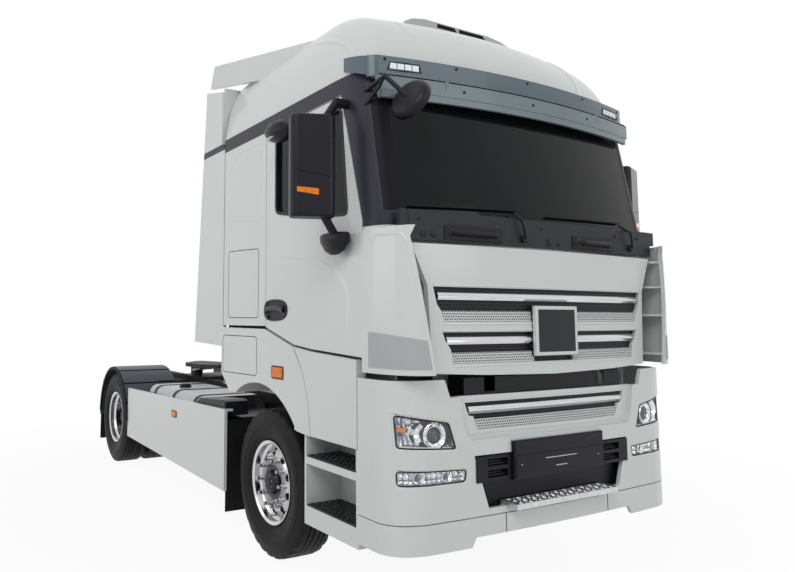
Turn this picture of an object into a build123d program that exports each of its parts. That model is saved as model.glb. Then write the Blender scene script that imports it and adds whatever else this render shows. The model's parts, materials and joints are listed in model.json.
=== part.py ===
"""Cab-over tractor unit with two axles, in millimetres.

+X is the vehicle's left, the front faces -Y, +Z is up. The origin is on the ground, in the
middle of the length. Lengths along the vehicle are given from the front axle.
"""
import os
from math import cos, radians, sin

from build123d import *

# Chassis
WHEELBASE = 4000
FRONT_OVERHANG = 1732
REAR_OVERHANG = 850
FRONT_AXLE_Y = (FRONT_OVERHANG - WHEELBASE - REAR_OVERHANG) / 2
RAIL_OUT = 425
RAIL_HEIGHT = 270
RAIL_FLANGE = 75
RAIL_WALL = 8
RAIL_TOP = 1030
RAIL_FRONT = -1180
CROSS_SIZE = 90

# Wheels
TYRE_R = 530
TYRE_WIDTH = 300
TYRE_SHOULDER = 26
RIM_R = 298.5
BEAD_R = 284.5
RIM_WELL_R = 258
RIM_WIDTH = 250
RIM_WALL = 9
SEAT_GAP = 0.3
FRONT_WHEEL_X = 1020
TWIN_OUTER_X = 1075
TWIN_GAP = 36
KINGPIN_X = 880
BOLT_CIRCLE_R = 167.5
STUD_R = 13
STUD_COUNT = 10
HAND_HOLE_R = 29
HAND_HOLE_CIRCLE_R = 217

# Cab
CAB_HALF = 1220
CAB_REAR = 720
CAB_WALL = 70
PANEL = 30
DOOR_GAP = 8
SHELL_BASE = 1420
SHELL_TOP = 3250
FLOOR_REAR_Z = 1675
CAB_GAP = 15
GLASS_WALL = 8
SCREEN_BOTTOM = 2355
SCREEN_TOP = 3085
ROOF_TOP = 3835

# Door outline: rear seam, wheel arch step, sill and pillar
DOOR_REAR = -60
DOOR_TOP = 3130
DOOR_FRONT = -1305
PILLAR_FOOT_Z = 2310
PILLAR_HEAD_Y = -1085
SILL_REAR = (-360, 1585)
SILL_STEP = (-485, 1552)
SILL_MID = (-720, 1530)
SILL_FRONT_Z = 1502
HINGE_R = 10

HINGE_Z = (1700, 2200)
ARM_X = (470, 530)
ARM_Y = (-1190, -1110)
PIVOT_Y = -1520
PIVOT_Z = 900
PIVOT_R = 26

# Front lid and grille
LID_TOP = 2160
LID_BASE = 1420
LID_BASE_MID = 1390
LID_HALF_TOP = 1088
LID_HALF_MID = 978
LID_MID_Z = 1920
LID_HALF_BASE = 952
LID_MID_Y = -1650
LID_SIDE_Y = -1588
LID_ARC_HALF = 1130
LID_WALL = 35
LID_GAP = 8
LID_PIN_Y = LID_MID_Y + 18
LID_PIN_Z = LID_TOP - 10
LID_PIN_R = 6

# Nose below the lid
BUMPER_HALF = 1232
BUMPER_CORNER_X = 1010
BUMPER_CORNER_Y = -1622
BUMPER_MID_Y = -1656
BUMPER_SIDE_Y = -1420
BUMPER_BACK = -1262
BUMPER_WALL = 25
BUMPER_TOP = 1290
LIP_TOP = 604
LIP_BASE = 445
LIP_MIDDLE = 498

# Coupling
KINGPIN_BORE_R = 25.4
COUPLING_Y = WHEELBASE - 620
COUPLING_TOP = 1190
COUPLING_HALF = 475
COUPLING_TILT_Z = 1105

os.makedirs("parts", exist_ok=True)


def side_plane(x):
    """Side view: local x runs back from the front axle, local y is height, normal +X."""
    return Plane(origin=(x, FRONT_AXLE_Y, 0), x_dir=(0, 1, 0), z_dir=(1, 0, 0))


def front_plane(y):
    """Front view at y from the front axle: local x is +X, local y is height, normal -Y."""
    return Plane(origin=(0, FRONT_AXLE_Y + y, 0), x_dir=(1, 0, 0), z_dir=(0, -1, 0))


def plan_plane(z):
    """Plan view at a height: local y runs back from the front axle, normal +Z."""
    return Plane(origin=(0, FRONT_AXLE_Y, z))


def side_shape(points, x0, x1, mode=Mode.ADD):
    """Side outline made solid between two x values."""
    with BuildSketch(side_plane(x0)) as outline:
        with BuildLine():
            Polyline(*points, close=True)
        make_face()
    extrude(outline.sketch, amount=x1 - x0, dir=(1, 0, 0), mode=mode)


def front_shape(points, y0, y1, mode=Mode.ADD):
    """Front outline made solid between two y values, y0 the nearer to the nose."""
    with BuildSketch(front_plane(y0)) as outline:
        with BuildLine():
            Polyline(*points, close=True)
        make_face()
    extrude(outline.sketch, amount=y1 - y0, dir=(0, 1, 0), mode=mode)


def plan_shape(points, z0, z1, mode=Mode.ADD):
    """Plan outline made solid between two heights."""
    with BuildSketch(plan_plane(z0)) as outline:
        with BuildLine():
            Polyline(*points, close=True)
        make_face()
    extrude(outline.sketch, amount=z1 - z0, dir=(0, 0, 1), mode=mode)


def block(x, y, z, mode=Mode.ADD):
    """Box between two values on each axis, y from the front axle."""
    with Locations(((x[0] + x[1]) / 2, FRONT_AXLE_Y + (y[0] + y[1]) / 2, (z[0] + z[1]) / 2)):
        Box(abs(x[1] - x[0]), abs(y[1] - y[0]), abs(z[1] - z[0]), mode=mode)


def rod(start, end, radius, mode=Mode.ADD):
    """Round bar between two points, y from the front axle."""
    first = Vector(start[0], FRONT_AXLE_Y + start[1], start[2])
    last = Vector(end[0], FRONT_AXLE_Y + end[1], end[2])
    with BuildSketch(Plane(origin=first, z_dir=last - first)) as section:
        Circle(radius)
    extrude(section.sketch, amount=(last - first).length, dir=(last - first).normalized(), mode=mode)


def nose(z, half, side_y, corner_x, corner_y, mid_y, back_y):
    """Plan outline with a bowed front and rounded front corners, as a sketch at height z."""
    with BuildSketch(plan_plane(z)) as outline:
        with BuildLine():
            ThreePointArc((-corner_x, corner_y), (0, mid_y), (corner_x, corner_y))
            Bezier((corner_x, corner_y), (half, corner_y + (half - corner_x) / 6), (half, side_y))
            Line((half, side_y), (half, back_y))
            Line((half, back_y), (-half, back_y))
            Line((-half, back_y), (-half, side_y))
            Bezier((-half, side_y), (-half, corner_y + (half - corner_x) / 6), (-corner_x, corner_y))
        make_face()
    return outline.sketch


def band(half, side_y, mid_y, wall, z0, z1, mode=Mode.ADD):
    """Bowed front panel of one thickness between two heights."""
    with BuildSketch(plan_plane(z0)) as outline:
        with BuildLine():
            ThreePointArc((-half, side_y), (0, mid_y), (half, side_y))
            Line((half, side_y), (half, side_y + wall))
            ThreePointArc((half, side_y + wall), (0, mid_y + wall), (-half, side_y + wall))
            Line((-half, side_y + wall), (-half, side_y))
        make_face()
    extrude(outline.sketch, amount=z1 - z0, dir=(0, 0, 1), mode=mode)


def save(builder, name):
    """Label a finished piece and write it."""
    builder.part.label = name
    export_step(builder.part, f"parts/{name}.step")


# Frame: two channel rails, tubes across them and the cab's rear mount
RAIL_BASE = RAIL_TOP - RAIL_HEIGHT
RAIL_REAR = WHEELBASE + REAR_OVERHANG - 60
CROSSMEMBERS = (RAIL_FRONT + CROSS_SIZE, 1450, WHEELBASE - 1700, WHEELBASE - 850, WHEELBASE, RAIL_REAR - CROSS_SIZE)
MOUNT_Y = 560
BEAM_FRONT = -1560
BEAM_LOW = 620
with BuildPart() as frame:
    for side in (-1, 1):
        block((side * RAIL_OUT, side * (RAIL_OUT - RAIL_FLANGE)), (RAIL_FRONT, RAIL_REAR), (RAIL_BASE, RAIL_TOP))
        block((side * (RAIL_OUT - RAIL_WALL), side * (RAIL_OUT - RAIL_FLANGE)), (RAIL_FRONT, RAIL_REAR),
              (RAIL_BASE + RAIL_WALL, RAIL_TOP - RAIL_WALL), mode=Mode.SUBTRACT)
    for y in CROSSMEMBERS:
        block((-RAIL_OUT + RAIL_WALL, RAIL_OUT - RAIL_WALL), (y - CROSS_SIZE / 2, y + CROSS_SIZE / 2),
              (RAIL_BASE + RAIL_WALL, RAIL_BASE + RAIL_HEIGHT / 2))
    for side in (-1, 1):
        block((side * RAIL_OUT, side * (RAIL_OUT - RAIL_FLANGE)), (MOUNT_Y - 60, MOUNT_Y + 60),
              (RAIL_TOP, FLOOR_REAR_Z - 150))
    block((-RAIL_OUT - 30, RAIL_OUT + 30), (MOUNT_Y - 60, MOUNT_Y + 60), (FLOOR_REAR_Z - 150, FLOOR_REAR_Z - 80))
    for side in (-1, 1):
        block((side * RAIL_OUT, side * (RAIL_OUT - RAIL_FLANGE)), (MOUNT_Y - 50, MOUNT_Y + 50),
              (FLOOR_REAR_Z - 80, FLOOR_REAR_Z - SEAT_GAP))
    for side in (-1, 1):
        block((side * RAIL_OUT, side * (RAIL_OUT - RAIL_FLANGE)), (BEAM_FRONT, RAIL_FRONT + 5), (BEAM_LOW, RAIL_TOP - 60))
    block((-850, 850), (BEAM_FRONT, BEAM_FRONT + 60), (BEAM_LOW, BEAM_LOW + 140))
    rod((-ARM_X[1] - 25, PIVOT_Y, PIVOT_Z), (ARM_X[1] + 25, PIVOT_Y, PIVOT_Z), PIVOT_R)
save(frame, "frame")


# Drive train, axles and springs
ENGINE = ((-300, 300), (-720, 560), (610, 1480))
GEARBOX = ((-230, 230), (560, 1330), (590, 960))
SHAFT_R = 55
SHAFT_START_Z = 690
AXLE_Z = TYRE_R
with BuildPart() as powertrain:
    block(*ENGINE)
    block(*GEARBOX)
    for side in (-1, 1):
        block((side * 290, side * (RAIL_OUT - RAIL_FLANGE / 2)), (-300, -200), (RAIL_TOP, RAIL_TOP + 60))
        block((side * 200, side * (RAIL_OUT - RAIL_FLANGE / 2)), (430, 500), (RAIL_TOP, RAIL_TOP + 60))
save(powertrain, "powertrain")

DIFF_R = 215
AXLE_TUBE_R = 75
AXLE_STUB_R = 48
with BuildPart() as rear_axle:
    rod((-TWIN_OUTER_X + 120, WHEELBASE, AXLE_Z), (TWIN_OUTER_X - 120, WHEELBASE, AXLE_Z), AXLE_STUB_R)
    rod((-560, WHEELBASE, AXLE_Z), (560, WHEELBASE, AXLE_Z), AXLE_TUBE_R)
    for side in (-1, 1):
        rod((side * 540, WHEELBASE, AXLE_Z), (side * 740, WHEELBASE, AXLE_Z), 200)
    with Locations((0, FRONT_AXLE_Y + WHEELBASE, AXLE_Z)):
        Sphere(DIFF_R)
    rod((0, GEARBOX[1][1] + SEAT_GAP + 3, SHAFT_START_Z), (0, WHEELBASE - 100, AXLE_Z + 20), SHAFT_R)
    rod((0, WHEELBASE - 330, AXLE_Z + 40), (0, WHEELBASE - 100, AXLE_Z + 20), 95)
save(rear_axle, "rear_axle")

SPRING_X = 350
SPRING_WIDTH = 80
SPRING_REACH = 780
BEAM_HEIGHT = 90
BEAM_HALF = 50
BEAM_Z = AXLE_Z - 30
PIN_R = 20
with BuildPart() as front_axle:
    block((-KINGPIN_X + 40, KINGPIN_X - 40), (-BEAM_HALF, BEAM_HALF), (BEAM_Z - BEAM_HEIGHT / 2, BEAM_Z + BEAM_HEIGHT / 2))
    for side in (-1, 1):
        rod((side * KINGPIN_X, 0, BEAM_Z - BEAM_HEIGHT / 2), (side * KINGPIN_X, 0, BEAM_Z + BEAM_HEIGHT / 2), 48)
        rod((side * KINGPIN_X, 0, BEAM_Z - BEAM_HEIGHT / 2), (side * KINGPIN_X, 0, BEAM_Z + BEAM_HEIGHT / 2),
            PIN_R + SEAT_GAP, mode=Mode.SUBTRACT)
        block((side * (SPRING_X - 60), side * (SPRING_X + 60)), (-90, 90),
              (BEAM_Z + BEAM_HEIGHT / 2, BEAM_Z + BEAM_HEIGHT / 2 + 25))
save(front_axle, "front_axle")

SPRING_SEAT_Z = BEAM_Z + BEAM_HEIGHT / 2 + 25
SPRING_STACK = 55
with BuildPart() as front_springs:
    for side in (-1, 1):
        x = (side * SPRING_X + SPRING_WIDTH / 2, side * SPRING_X - SPRING_WIDTH / 2)
        side_shape([(-110, SPRING_SEAT_Z), (110, SPRING_SEAT_Z), (SPRING_REACH, RAIL_BASE - 70),
                    (SPRING_REACH, RAIL_BASE - 50), (110, SPRING_SEAT_Z + SPRING_STACK),
                    (-110, SPRING_SEAT_Z + SPRING_STACK), (-SPRING_REACH, RAIL_BASE - 50),
                    (-SPRING_REACH, RAIL_BASE - 70)], min(x), max(x))
        for end in (-1, 1):
            block(x, (end * SPRING_REACH - 45, end * SPRING_REACH + 45), (RAIL_BASE - 80, RAIL_BASE))
save(front_springs, "front_springs")

AIR_SPRING_R = 120
with BuildPart() as rear_springs:
    for side in (-1, 1):
        x = (side * (SPRING_X - 50), side * (SPRING_X + 50))
        block(x, (WHEELBASE - 520, WHEELBASE + 520), (AXLE_Z + AXLE_TUBE_R, AXLE_Z + AXLE_TUBE_R + 60))
        for end in (-1, 1):
            rod((side * SPRING_X, WHEELBASE + end * 400, AXLE_Z + AXLE_TUBE_R + 60),
                (side * SPRING_X, WHEELBASE + end * 400, RAIL_BASE), AIR_SPRING_R)
save(rear_springs, "rear_springs")

# Knuckles that turn on the kingpins
KNUCKLE_GAP = 5
STUB_R = 45
DRUM_R = 205
STUB_END_X = FRONT_WHEEL_X + 60
for side, hand in ((-1, "r"), (1, "l")):
    with BuildPart() as knuckle:
        for low, high in ((BEAM_Z + BEAM_HEIGHT / 2 + KNUCKLE_GAP, AXLE_Z + 140),
                          (AXLE_Z - 160, BEAM_Z - BEAM_HEIGHT / 2 - KNUCKLE_GAP)):
            rod((side * KINGPIN_X, 0, low), (side * KINGPIN_X, 0, high), 48)
            block((side * KINGPIN_X, side * (KINGPIN_X + 75)), (-45, 45), (low, high))
        rod((side * KINGPIN_X, 0, AXLE_Z - 160), (side * KINGPIN_X, 0, AXLE_Z + 140), PIN_R)
        rod((side * (KINGPIN_X + 58), 0, AXLE_Z), (side * (KINGPIN_X + 90), 0, AXLE_Z), DRUM_R)
        rod((side * (KINGPIN_X + 70), 0, AXLE_Z), (side * STUB_END_X, 0, AXLE_Z), STUB_R)
    save(knuckle, f"knuckle_{hand}")


def wheel_plane(x, y, side):
    """Local x runs outward along the wheel's axis, local y is the radius."""
    return Plane(origin=(x, FRONT_AXLE_Y + y, AXLE_Z), x_dir=(side, 0, 0), z_dir=(0, -side, 0))


def turned(points, x, y, side, mode=Mode.ADD):
    """Solid of revolution about a wheel's axis from an outline of (outward, radius) points."""
    with BuildSketch(wheel_plane(x, y, side)) as outline:
        with BuildLine():
            Polyline(*points, close=True)
        make_face()
    revolve(outline.sketch, axis=Axis((x, FRONT_AXLE_Y + y, AXLE_Z), (side, 0, 0)), mode=mode)


def rim_points(disc):
    """Section of a drop-centre rim whose disc meets the well at the given offset."""
    half = RIM_WIDTH / 2
    return [(-half, RIM_R), (-half + 12, RIM_R), (-half + 16, BEAD_R), (-half + 55, BEAD_R - 2),
            (-half + 75, RIM_WELL_R), (half - 75, RIM_WELL_R), (half - 55, BEAD_R - 2),
            (half - 16, BEAD_R), (half - 12, RIM_R), (half, RIM_R), (half, RIM_R - 8),
            (half - 8, BEAD_R - RIM_WALL), (half - 52, BEAD_R - RIM_WALL - 2),
            (half - 72, RIM_WELL_R - RIM_WALL), (-half + 72, RIM_WELL_R - RIM_WALL),
            (-half + 52, BEAD_R - RIM_WALL - 2), (-half + 8, BEAD_R - RIM_WALL), (-half, RIM_R - 8)]


def tyre_points(centre):
    """Section of a tyre seated on the rim, about an offset from the wheel plane."""
    half = RIM_WIDTH / 2
    wide = TYRE_WIDTH / 2
    seat = BEAD_R + SEAT_GAP
    return [(centre - half + 16, seat), (centre + half - 16, seat), (centre + half - 14, RIM_R + 4),
            (centre + wide - 8, RIM_R + 55), (centre + wide, (RIM_R + TYRE_R) / 2 + 12),
            (centre + wide - 8, TYRE_R - 60), (centre + wide - TYRE_SHOULDER, TYRE_R - 6),
            (centre + wide - TYRE_SHOULDER - 12, TYRE_R), (centre - wide + TYRE_SHOULDER + 12, TYRE_R),
            (centre - wide + TYRE_SHOULDER, TYRE_R - 6), (centre - wide + 8, TYRE_R - 60),
            (centre - wide, (RIM_R + TYRE_R) / 2 + 12), (centre - wide + 8, RIM_R + 55),
            (centre - half + 14, RIM_R + 4)]


STUB_GAP = 0.5
DISC_WALL = 14
WELL_FACE = RIM_WELL_R - RIM_WALL + 2
for side, hand in ((-1, "r"), (1, "l")):
    # Front wheel: disc close to the outer face, hub standing proud of it
    x = side * FRONT_WHEEL_X
    with BuildPart() as front_wheel:
        turned(rim_points(0), x, 0, side)
        turned([(30, STUB_R + STUB_GAP), (92, STUB_R + STUB_GAP), (92, 0), (135, 0), (135, 62), (128, 78),
                (100, 90), (96, 205), (60, WELL_FACE), (38, WELL_FACE),
                (72, 200), (72, 130), (30, 125)], x, 0, side)
        for k in range(STUD_COUNT):
            a = radians(360 * (k + 0.5) / STUD_COUNT)
            y, z = HAND_HOLE_CIRCLE_R * cos(a), AXLE_Z + HAND_HOLE_CIRCLE_R * sin(a)
            rod((x + side * 20, y, z), (x + side * 130, y, z), HAND_HOLE_R, mode=Mode.SUBTRACT)
            a = radians(360 * k / STUD_COUNT)
            y, z = BOLT_CIRCLE_R * cos(a), AXLE_Z + BOLT_CIRCLE_R * sin(a)
            rod((x + side * 90, y, z), (x + side * 145, y, z), STUD_R)
    save(front_wheel, f"wheel_front_{hand}")
    with BuildPart() as front_tyre:
        turned(tyre_points(0), x, 0, side)
    save(front_tyre, f"tyre_front_{hand}")

    # Rear wheel: twin rims on one hub, the outer disc set deep inside
    x = side * TWIN_OUTER_X
    inner = -(TYRE_WIDTH + TWIN_GAP)
    mating = inner / 2
    with BuildPart() as rear_wheel:
        turned(rim_points(0), x, WHEELBASE, side)
        turned([(a + inner, r) for a, r in rim_points(0)], x, WHEELBASE, side)
        turned([(mating - 60, AXLE_STUB_R + STUB_GAP), (-119, AXLE_STUB_R + STUB_GAP), (-119, 0), (45, 0),
                (45, 62), (30, 96), (mating + 40, 104), (mating + 34, 130), (mating + DISC_WALL, 135),
                (mating + DISC_WALL, 200), (-25, WELL_FACE), (-48, WELL_FACE), (mating, 205),
                (inner + 46, WELL_FACE), (inner + 23, WELL_FACE), (mating - DISC_WALL, 200),
                (mating - DISC_WALL, 150), (mating - 60, 140)], x, WHEELBASE, side)
        for k in range(STUD_COUNT):
            a = radians(360 * (k + 0.5) / STUD_COUNT)
            y, z = WHEELBASE + HAND_HOLE_CIRCLE_R * cos(a), AXLE_Z + HAND_HOLE_CIRCLE_R * sin(a)
            rod((x - side * 160, y, z), (x - side * 20, y, z), HAND_HOLE_R, mode=Mode.SUBTRACT)
            a = radians(360 * k / STUD_COUNT)
            y, z = WHEELBASE + BOLT_CIRCLE_R * cos(a), AXLE_Z + BOLT_CIRCLE_R * sin(a)
            rod((x + side * mating, y, z), (x + side * (mating + 65), y, z), STUD_R)
    save(rear_wheel, f"wheel_rear_{hand}")
    with BuildPart() as rear_tyre:
        turned(tyre_points(0), x, WHEELBASE, side)
        turned(tyre_points(inner), x, WHEELBASE, side)
    save(rear_tyre, f"tyre_rear_{hand}")


# Pieces that hang beside the rails
SIDE_X = 1205
FAIRING_WALL = 25
FAIRING = (650, WHEELBASE - 610)
LEDGE = 180
FAIRING_TOP_FRONT = 990
FAIRING_TOP_REAR = 930
FAIRING_BASE_FRONT = 340
FAIRING_BASE_REAR = 390
SIDE_ROOM = (1330, WHEELBASE - 1200)
TANK = ((520, 1165), SIDE_ROOM, (430, 1015))
TANK_ROUND = 90
BRACKET = 60
with BuildPart() as fuel_tank:
    block((-TANK[0][1], -TANK[0][0]), *TANK[1:])
    fillet(fuel_tank.edges().filter_by(Axis.Y), TANK_ROUND)
    for y in (SIDE_ROOM[0] + 220, SIDE_ROOM[1] - 220):
        block((-TANK[0][0] - 10, -RAIL_OUT), (y - BRACKET, y + BRACKET), (RAIL_BASE + 40, RAIL_BASE + 160))
        block((-SIDE_X, -TANK[0][1] + 10), (y - BRACKET, y + BRACKET), (700, 740))
save(fuel_tank, "fuel_tank")

BOX_SPLIT = sum(SIDE_ROOM) / 2
BOXES = [(1, (760, 1250), 380, 980), (1, (SIDE_ROOM[0], BOX_SPLIT - 40), 450, 960),
         (1, (BOX_SPLIT + 40, SIDE_ROOM[1]), 450, 1000), (-1, (760, 1250), 450, 900)]
with BuildPart() as service_boxes:
    for side, y, low, high in BOXES:
        block((side * 560, side * 1150), y, (low, high))
        block((side * 570, side * RAIL_OUT), (y[0] + 100, y[0] + 260), (RAIL_BASE + 20, RAIL_BASE + 90))
        block((side * 1140, side * SIDE_X), (y[0] + 100, y[0] + 260), (700, 740))
save(service_boxes, "service_boxes")

with BuildPart() as side_fairings:
    for side in (-1, 1):
        x = sorted((side * SIDE_X, side * (SIDE_X + FAIRING_WALL)))
        side_shape([(FAIRING[0], FAIRING_BASE_FRONT), (FAIRING[1], FAIRING_BASE_REAR),
                    (FAIRING[1], FAIRING_TOP_REAR), (FAIRING[0], FAIRING_TOP_FRONT)], *x)
        x = sorted((side * (SIDE_X - 50), side * (SIDE_X + 1)))
        side_shape([(FAIRING[0], FAIRING_TOP_FRONT - 18), (FAIRING[0], FAIRING_TOP_FRONT),
                    (FAIRING[0] + LEDGE, FAIRING_TOP_FRONT - 8), (FAIRING[0] + LEDGE, FAIRING_TOP_FRONT - 26)], *x)
save(side_fairings, "side_fairings")

# Guards over the rear wheels
GUARD_R = 592
GUARD_WALL = 12
GUARD_X = (600, 1240)
with BuildPart() as rear_fenders:
    for side in (-1, 1):
        x = sorted((side * GUARD_X[0], side * GUARD_X[1]))
        with BuildSketch(side_plane(x[0])) as ring:
            with Locations((WHEELBASE, AXLE_Z)):
                Circle(GUARD_R + GUARD_WALL)
                Circle(GUARD_R, mode=Mode.SUBTRACT)
            with Locations((WHEELBASE, AXLE_Z - 530)):
                Rectangle(1400, 1000, mode=Mode.SUBTRACT)
        extrude(ring.sketch, amount=x[1] - x[0], dir=(1, 0, 0))
        for y in (WHEELBASE - 400, WHEELBASE + 400):
            z = AXLE_Z + (GUARD_R ** 2 - 400 ** 2) ** 0.5
            rod((side * RAIL_OUT, y, z + 8), (side * (GUARD_X[0] + 200), y, z + 8), 16)
save(rear_fenders, "rear_fenders")

FLAP_WALL = 8
with BuildPart() as mudflaps:
    for side in (-1, 1):
        block((side * (GUARD_X[0] + 10), side * (GUARD_X[1] - 10)), (WHEELBASE + GUARD_R, WHEELBASE + GUARD_R + FLAP_WALL),
              (190, AXLE_Z - 30))
        block((side * 870, side * (SIDE_X - SEAT_GAP)), (FAIRING[0] + 20, FAIRING[0] + 20 + FLAP_WALL), (170, 900))
save(mudflaps, "mudflaps")

with BuildPart() as tail_lamps:
    y = WHEELBASE + REAR_OVERHANG
    block((-1150, 1150), (RAIL_REAR, RAIL_REAR + 25), (RAIL_BASE + 20, RAIL_BASE + 130))
    for side in (-1, 1):
        block((side * 720, side * 1150), (RAIL_REAR + 25, y), (RAIL_BASE - 30, RAIL_BASE + 150))
save(tail_lamps, "tail_lamps")

DECK_TOP = RAIL_TOP + 25
with BuildPart() as deck:
    block((-RAIL_OUT - 70, RAIL_OUT + 70), (1050, WHEELBASE - 1650), (RAIL_TOP, DECK_TOP))
save(deck, "deck")

# Coupling: base on the rails and a plate rocking on it
BASE_WALL = 40
BASE_X = 395
TRUNNION_R = 30
PLATE_WALL = 45
PLATE = (COUPLING_Y - 430, COUPLING_Y + 420)
with BuildPart() as coupling_base:
    block((-RAIL_OUT - 40, RAIL_OUT + 40), (COUPLING_Y - 330, COUPLING_Y + 330), (RAIL_TOP, RAIL_TOP + 14))
    for side in (-1, 1):
        x = sorted((side * (BASE_X - BASE_WALL / 2), side * (BASE_X + BASE_WALL / 2)))
        side_shape([(COUPLING_Y - 130, RAIL_TOP + 10), (COUPLING_Y + 130, RAIL_TOP + 10),
                    (COUPLING_Y + 50, COUPLING_TILT_Z + 30), (COUPLING_Y - 50, COUPLING_TILT_Z + 30)], *x)
    rod((-BASE_X - 60, COUPLING_Y, COUPLING_TILT_Z), (-BASE_X + 60, COUPLING_Y, COUPLING_TILT_Z), TRUNNION_R)
    rod((BASE_X - 60, COUPLING_Y, COUPLING_TILT_Z), (BASE_X + 60, COUPLING_Y, COUPLING_TILT_Z), TRUNNION_R)
save(coupling_base, "coupling_base")

THROAT_HALF = 160
with BuildPart() as coupling_plate:
    plan_shape([(-COUPLING_HALF, PLATE[0] + 140), (-COUPLING_HALF + 170, PLATE[0]), (COUPLING_HALF - 170, PLATE[0]),
                (COUPLING_HALF, PLATE[0] + 140), (COUPLING_HALF, COUPLING_Y + 180), (THROAT_HALF + 90, PLATE[1]),
                (THROAT_HALF, PLATE[1]), (KINGPIN_BORE_R + 6, COUPLING_Y + 60), (-KINGPIN_BORE_R - 6, COUPLING_Y + 60),
                (-THROAT_HALF, PLATE[1]), (-THROAT_HALF - 90, PLATE[1]), (-COUPLING_HALF, COUPLING_Y + 180)],
               COUPLING_TOP - PLATE_WALL, COUPLING_TOP)
    rod((0, COUPLING_Y, COUPLING_TOP - PLATE_WALL), (0, COUPLING_Y, COUPLING_TOP), KINGPIN_BORE_R, mode=Mode.SUBTRACT)
    for side in (-1, 1):
        for x in (BASE_X - 55, BASE_X + 35):
            block((side * x, side * (x + 20)), (COUPLING_Y - 55, COUPLING_Y + 55),
                  (COUPLING_TILT_Z - 45, COUPLING_TOP - PLATE_WALL))
    for side in (-1, 1):
        rod((side * (BASE_X - 100), COUPLING_Y, COUPLING_TILT_Z), (side * (BASE_X + 100), COUPLING_Y, COUPLING_TILT_Z),
            TRUNNION_R + SEAT_GAP, mode=Mode.SUBTRACT)
save(coupling_plate, "coupling_plate")

# Panels over the front wheels, cut from one seam line with the doors and the cab's floor edge
FENDER_X = (1165, 1232)
ARCH_FRONT = (-540, 980)
ARCH_TOP = (-30, 1250)
ARCH_REAR = (440, 1147)
PANEL_SPLIT = [(-720, 968), (-690, 1180), (-620, 1370)]
SEAM = [SILL_STEP, SILL_REAR, (DOOR_REAR, FLOOR_REAR_Z - 8), (CAB_REAR, FLOOR_REAR_Z - 2)]
LINER_WALL = 12
with BuildPart() as front_fenders:
    for side in (-1, 1):
        x = sorted((side * FENDER_X[0], side * FENDER_X[1]))
        with BuildSketch(side_plane(x[0])) as outline:
            with BuildLine():
                Polyline(ARCH_FRONT, *PANEL_SPLIT, *[(y, z - CAB_GAP) for y, z in SEAM], (CAB_REAR, 1290), (560, 1150), ARCH_REAR)
                ThreePointArc(ARCH_REAR, ARCH_TOP, ARCH_FRONT)
            make_face()
        extrude(outline.sketch, amount=x[1] - x[0], dir=(1, 0, 0))
        x = sorted((side * (RAIL_OUT + 10), side * (FENDER_X[0] + 5)))
        with BuildSketch(side_plane(x[0])) as liner:
            with BuildLine():
                ThreePointArc(ARCH_REAR, ARCH_TOP, ARCH_FRONT)
                Line(ARCH_FRONT, (ARCH_FRONT[0] - 4, ARCH_FRONT[1] + LINER_WALL))
                ThreePointArc((ARCH_FRONT[0] - 4, ARCH_FRONT[1] + LINER_WALL), (ARCH_TOP[0], ARCH_TOP[1] + LINER_WALL),
                              (ARCH_REAR[0] + 6, ARCH_REAR[1] + LINER_WALL))
                Line((ARCH_REAR[0] + 6, ARCH_REAR[1] + LINER_WALL), ARCH_REAR)
            make_face()
        extrude(liner.sketch, amount=x[1] - x[0], dir=(1, 0, 0))
        for y in (-330, 330):
            block((side * (RAIL_OUT - 50), side * (RAIL_OUT + 40)), (y - 25, y + 25), (RAIL_TOP, 1205))
save(front_fenders, "front_fenders")

STEP_BOX = ((930, 1225), (-1252, -640), (408, 967))
STEP_WALL = 20
with BuildPart() as step_boxes:
    for side in (-1, 1):
        block((side * STEP_BOX[0][0], side * STEP_BOX[0][1]), *STEP_BOX[1:])
        for low, high in ((525, 790), (835, 990)):
            block((side * (STEP_BOX[0][0] + STEP_WALL), side * (STEP_BOX[0][1] + 5)),
                  (STEP_BOX[1][0] + STEP_WALL, STEP_BOX[1][1] - STEP_WALL), (low, high), mode=Mode.SUBTRACT)
        x = sorted((side * FENDER_X[0], side * FENDER_X[1]))
        side_shape([(STEP_BOX[1][0], 972), (PANEL_SPLIT[0][0] - 8, 972), (PANEL_SPLIT[1][0] - 8, PANEL_SPLIT[1][1]),
                    (PANEL_SPLIT[2][0] - 8, PANEL_SPLIT[2][1]), (SILL_STEP[0] - 20, SILL_STEP[1] - CAB_GAP),
                    (SILL_MID[0], SILL_MID[1] - CAB_GAP), (STEP_BOX[1][0], SILL_FRONT_Z - CAB_GAP)], *x)
        block((side * STEP_BOX[0][0], side * (STEP_BOX[0][0] + STEP_WALL)), STEP_BOX[1], (960, 1400))
        for y, reach in ((STEP_BOX[1][0], 5), (STEP_BOX[1][1] - STEP_WALL, 0)):
            block((side * STEP_BOX[0][0], side * (FENDER_X[0] + reach)), (y, y + STEP_WALL), (960, 1330))
        block((side * RAIL_OUT, side * (STEP_BOX[0][0] + 5)), (-1000, -900), (RAIL_BASE + 30, RAIL_BASE + 130))
save(step_boxes, "step_boxes")

# Nose: bumper, lip, lamps and the dark pieces set in its openings
NOSE_FRONT = -1760
NOSE_CUT_BACK = -1400


def bumper_shell(z0, z1, inset=0, wall=BUMPER_WALL, mode=Mode.ADD):
    """Wrap-round shell set in from the bumper's face."""
    with BuildPart() as shell:
        for depth, how, back in ((inset, Mode.ADD, 0), (inset + wall, Mode.SUBTRACT, 1)):
            shape = nose(z0, BUMPER_HALF - depth, BUMPER_SIDE_Y, BUMPER_CORNER_X - depth * 0.3, BUMPER_CORNER_Y + depth,
                         BUMPER_MID_Y + depth, BUMPER_BACK + back)
            extrude(shape, amount=z1 - z0, dir=(0, 0, 1), mode=how)
    add(shell.part, mode=mode)


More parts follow.
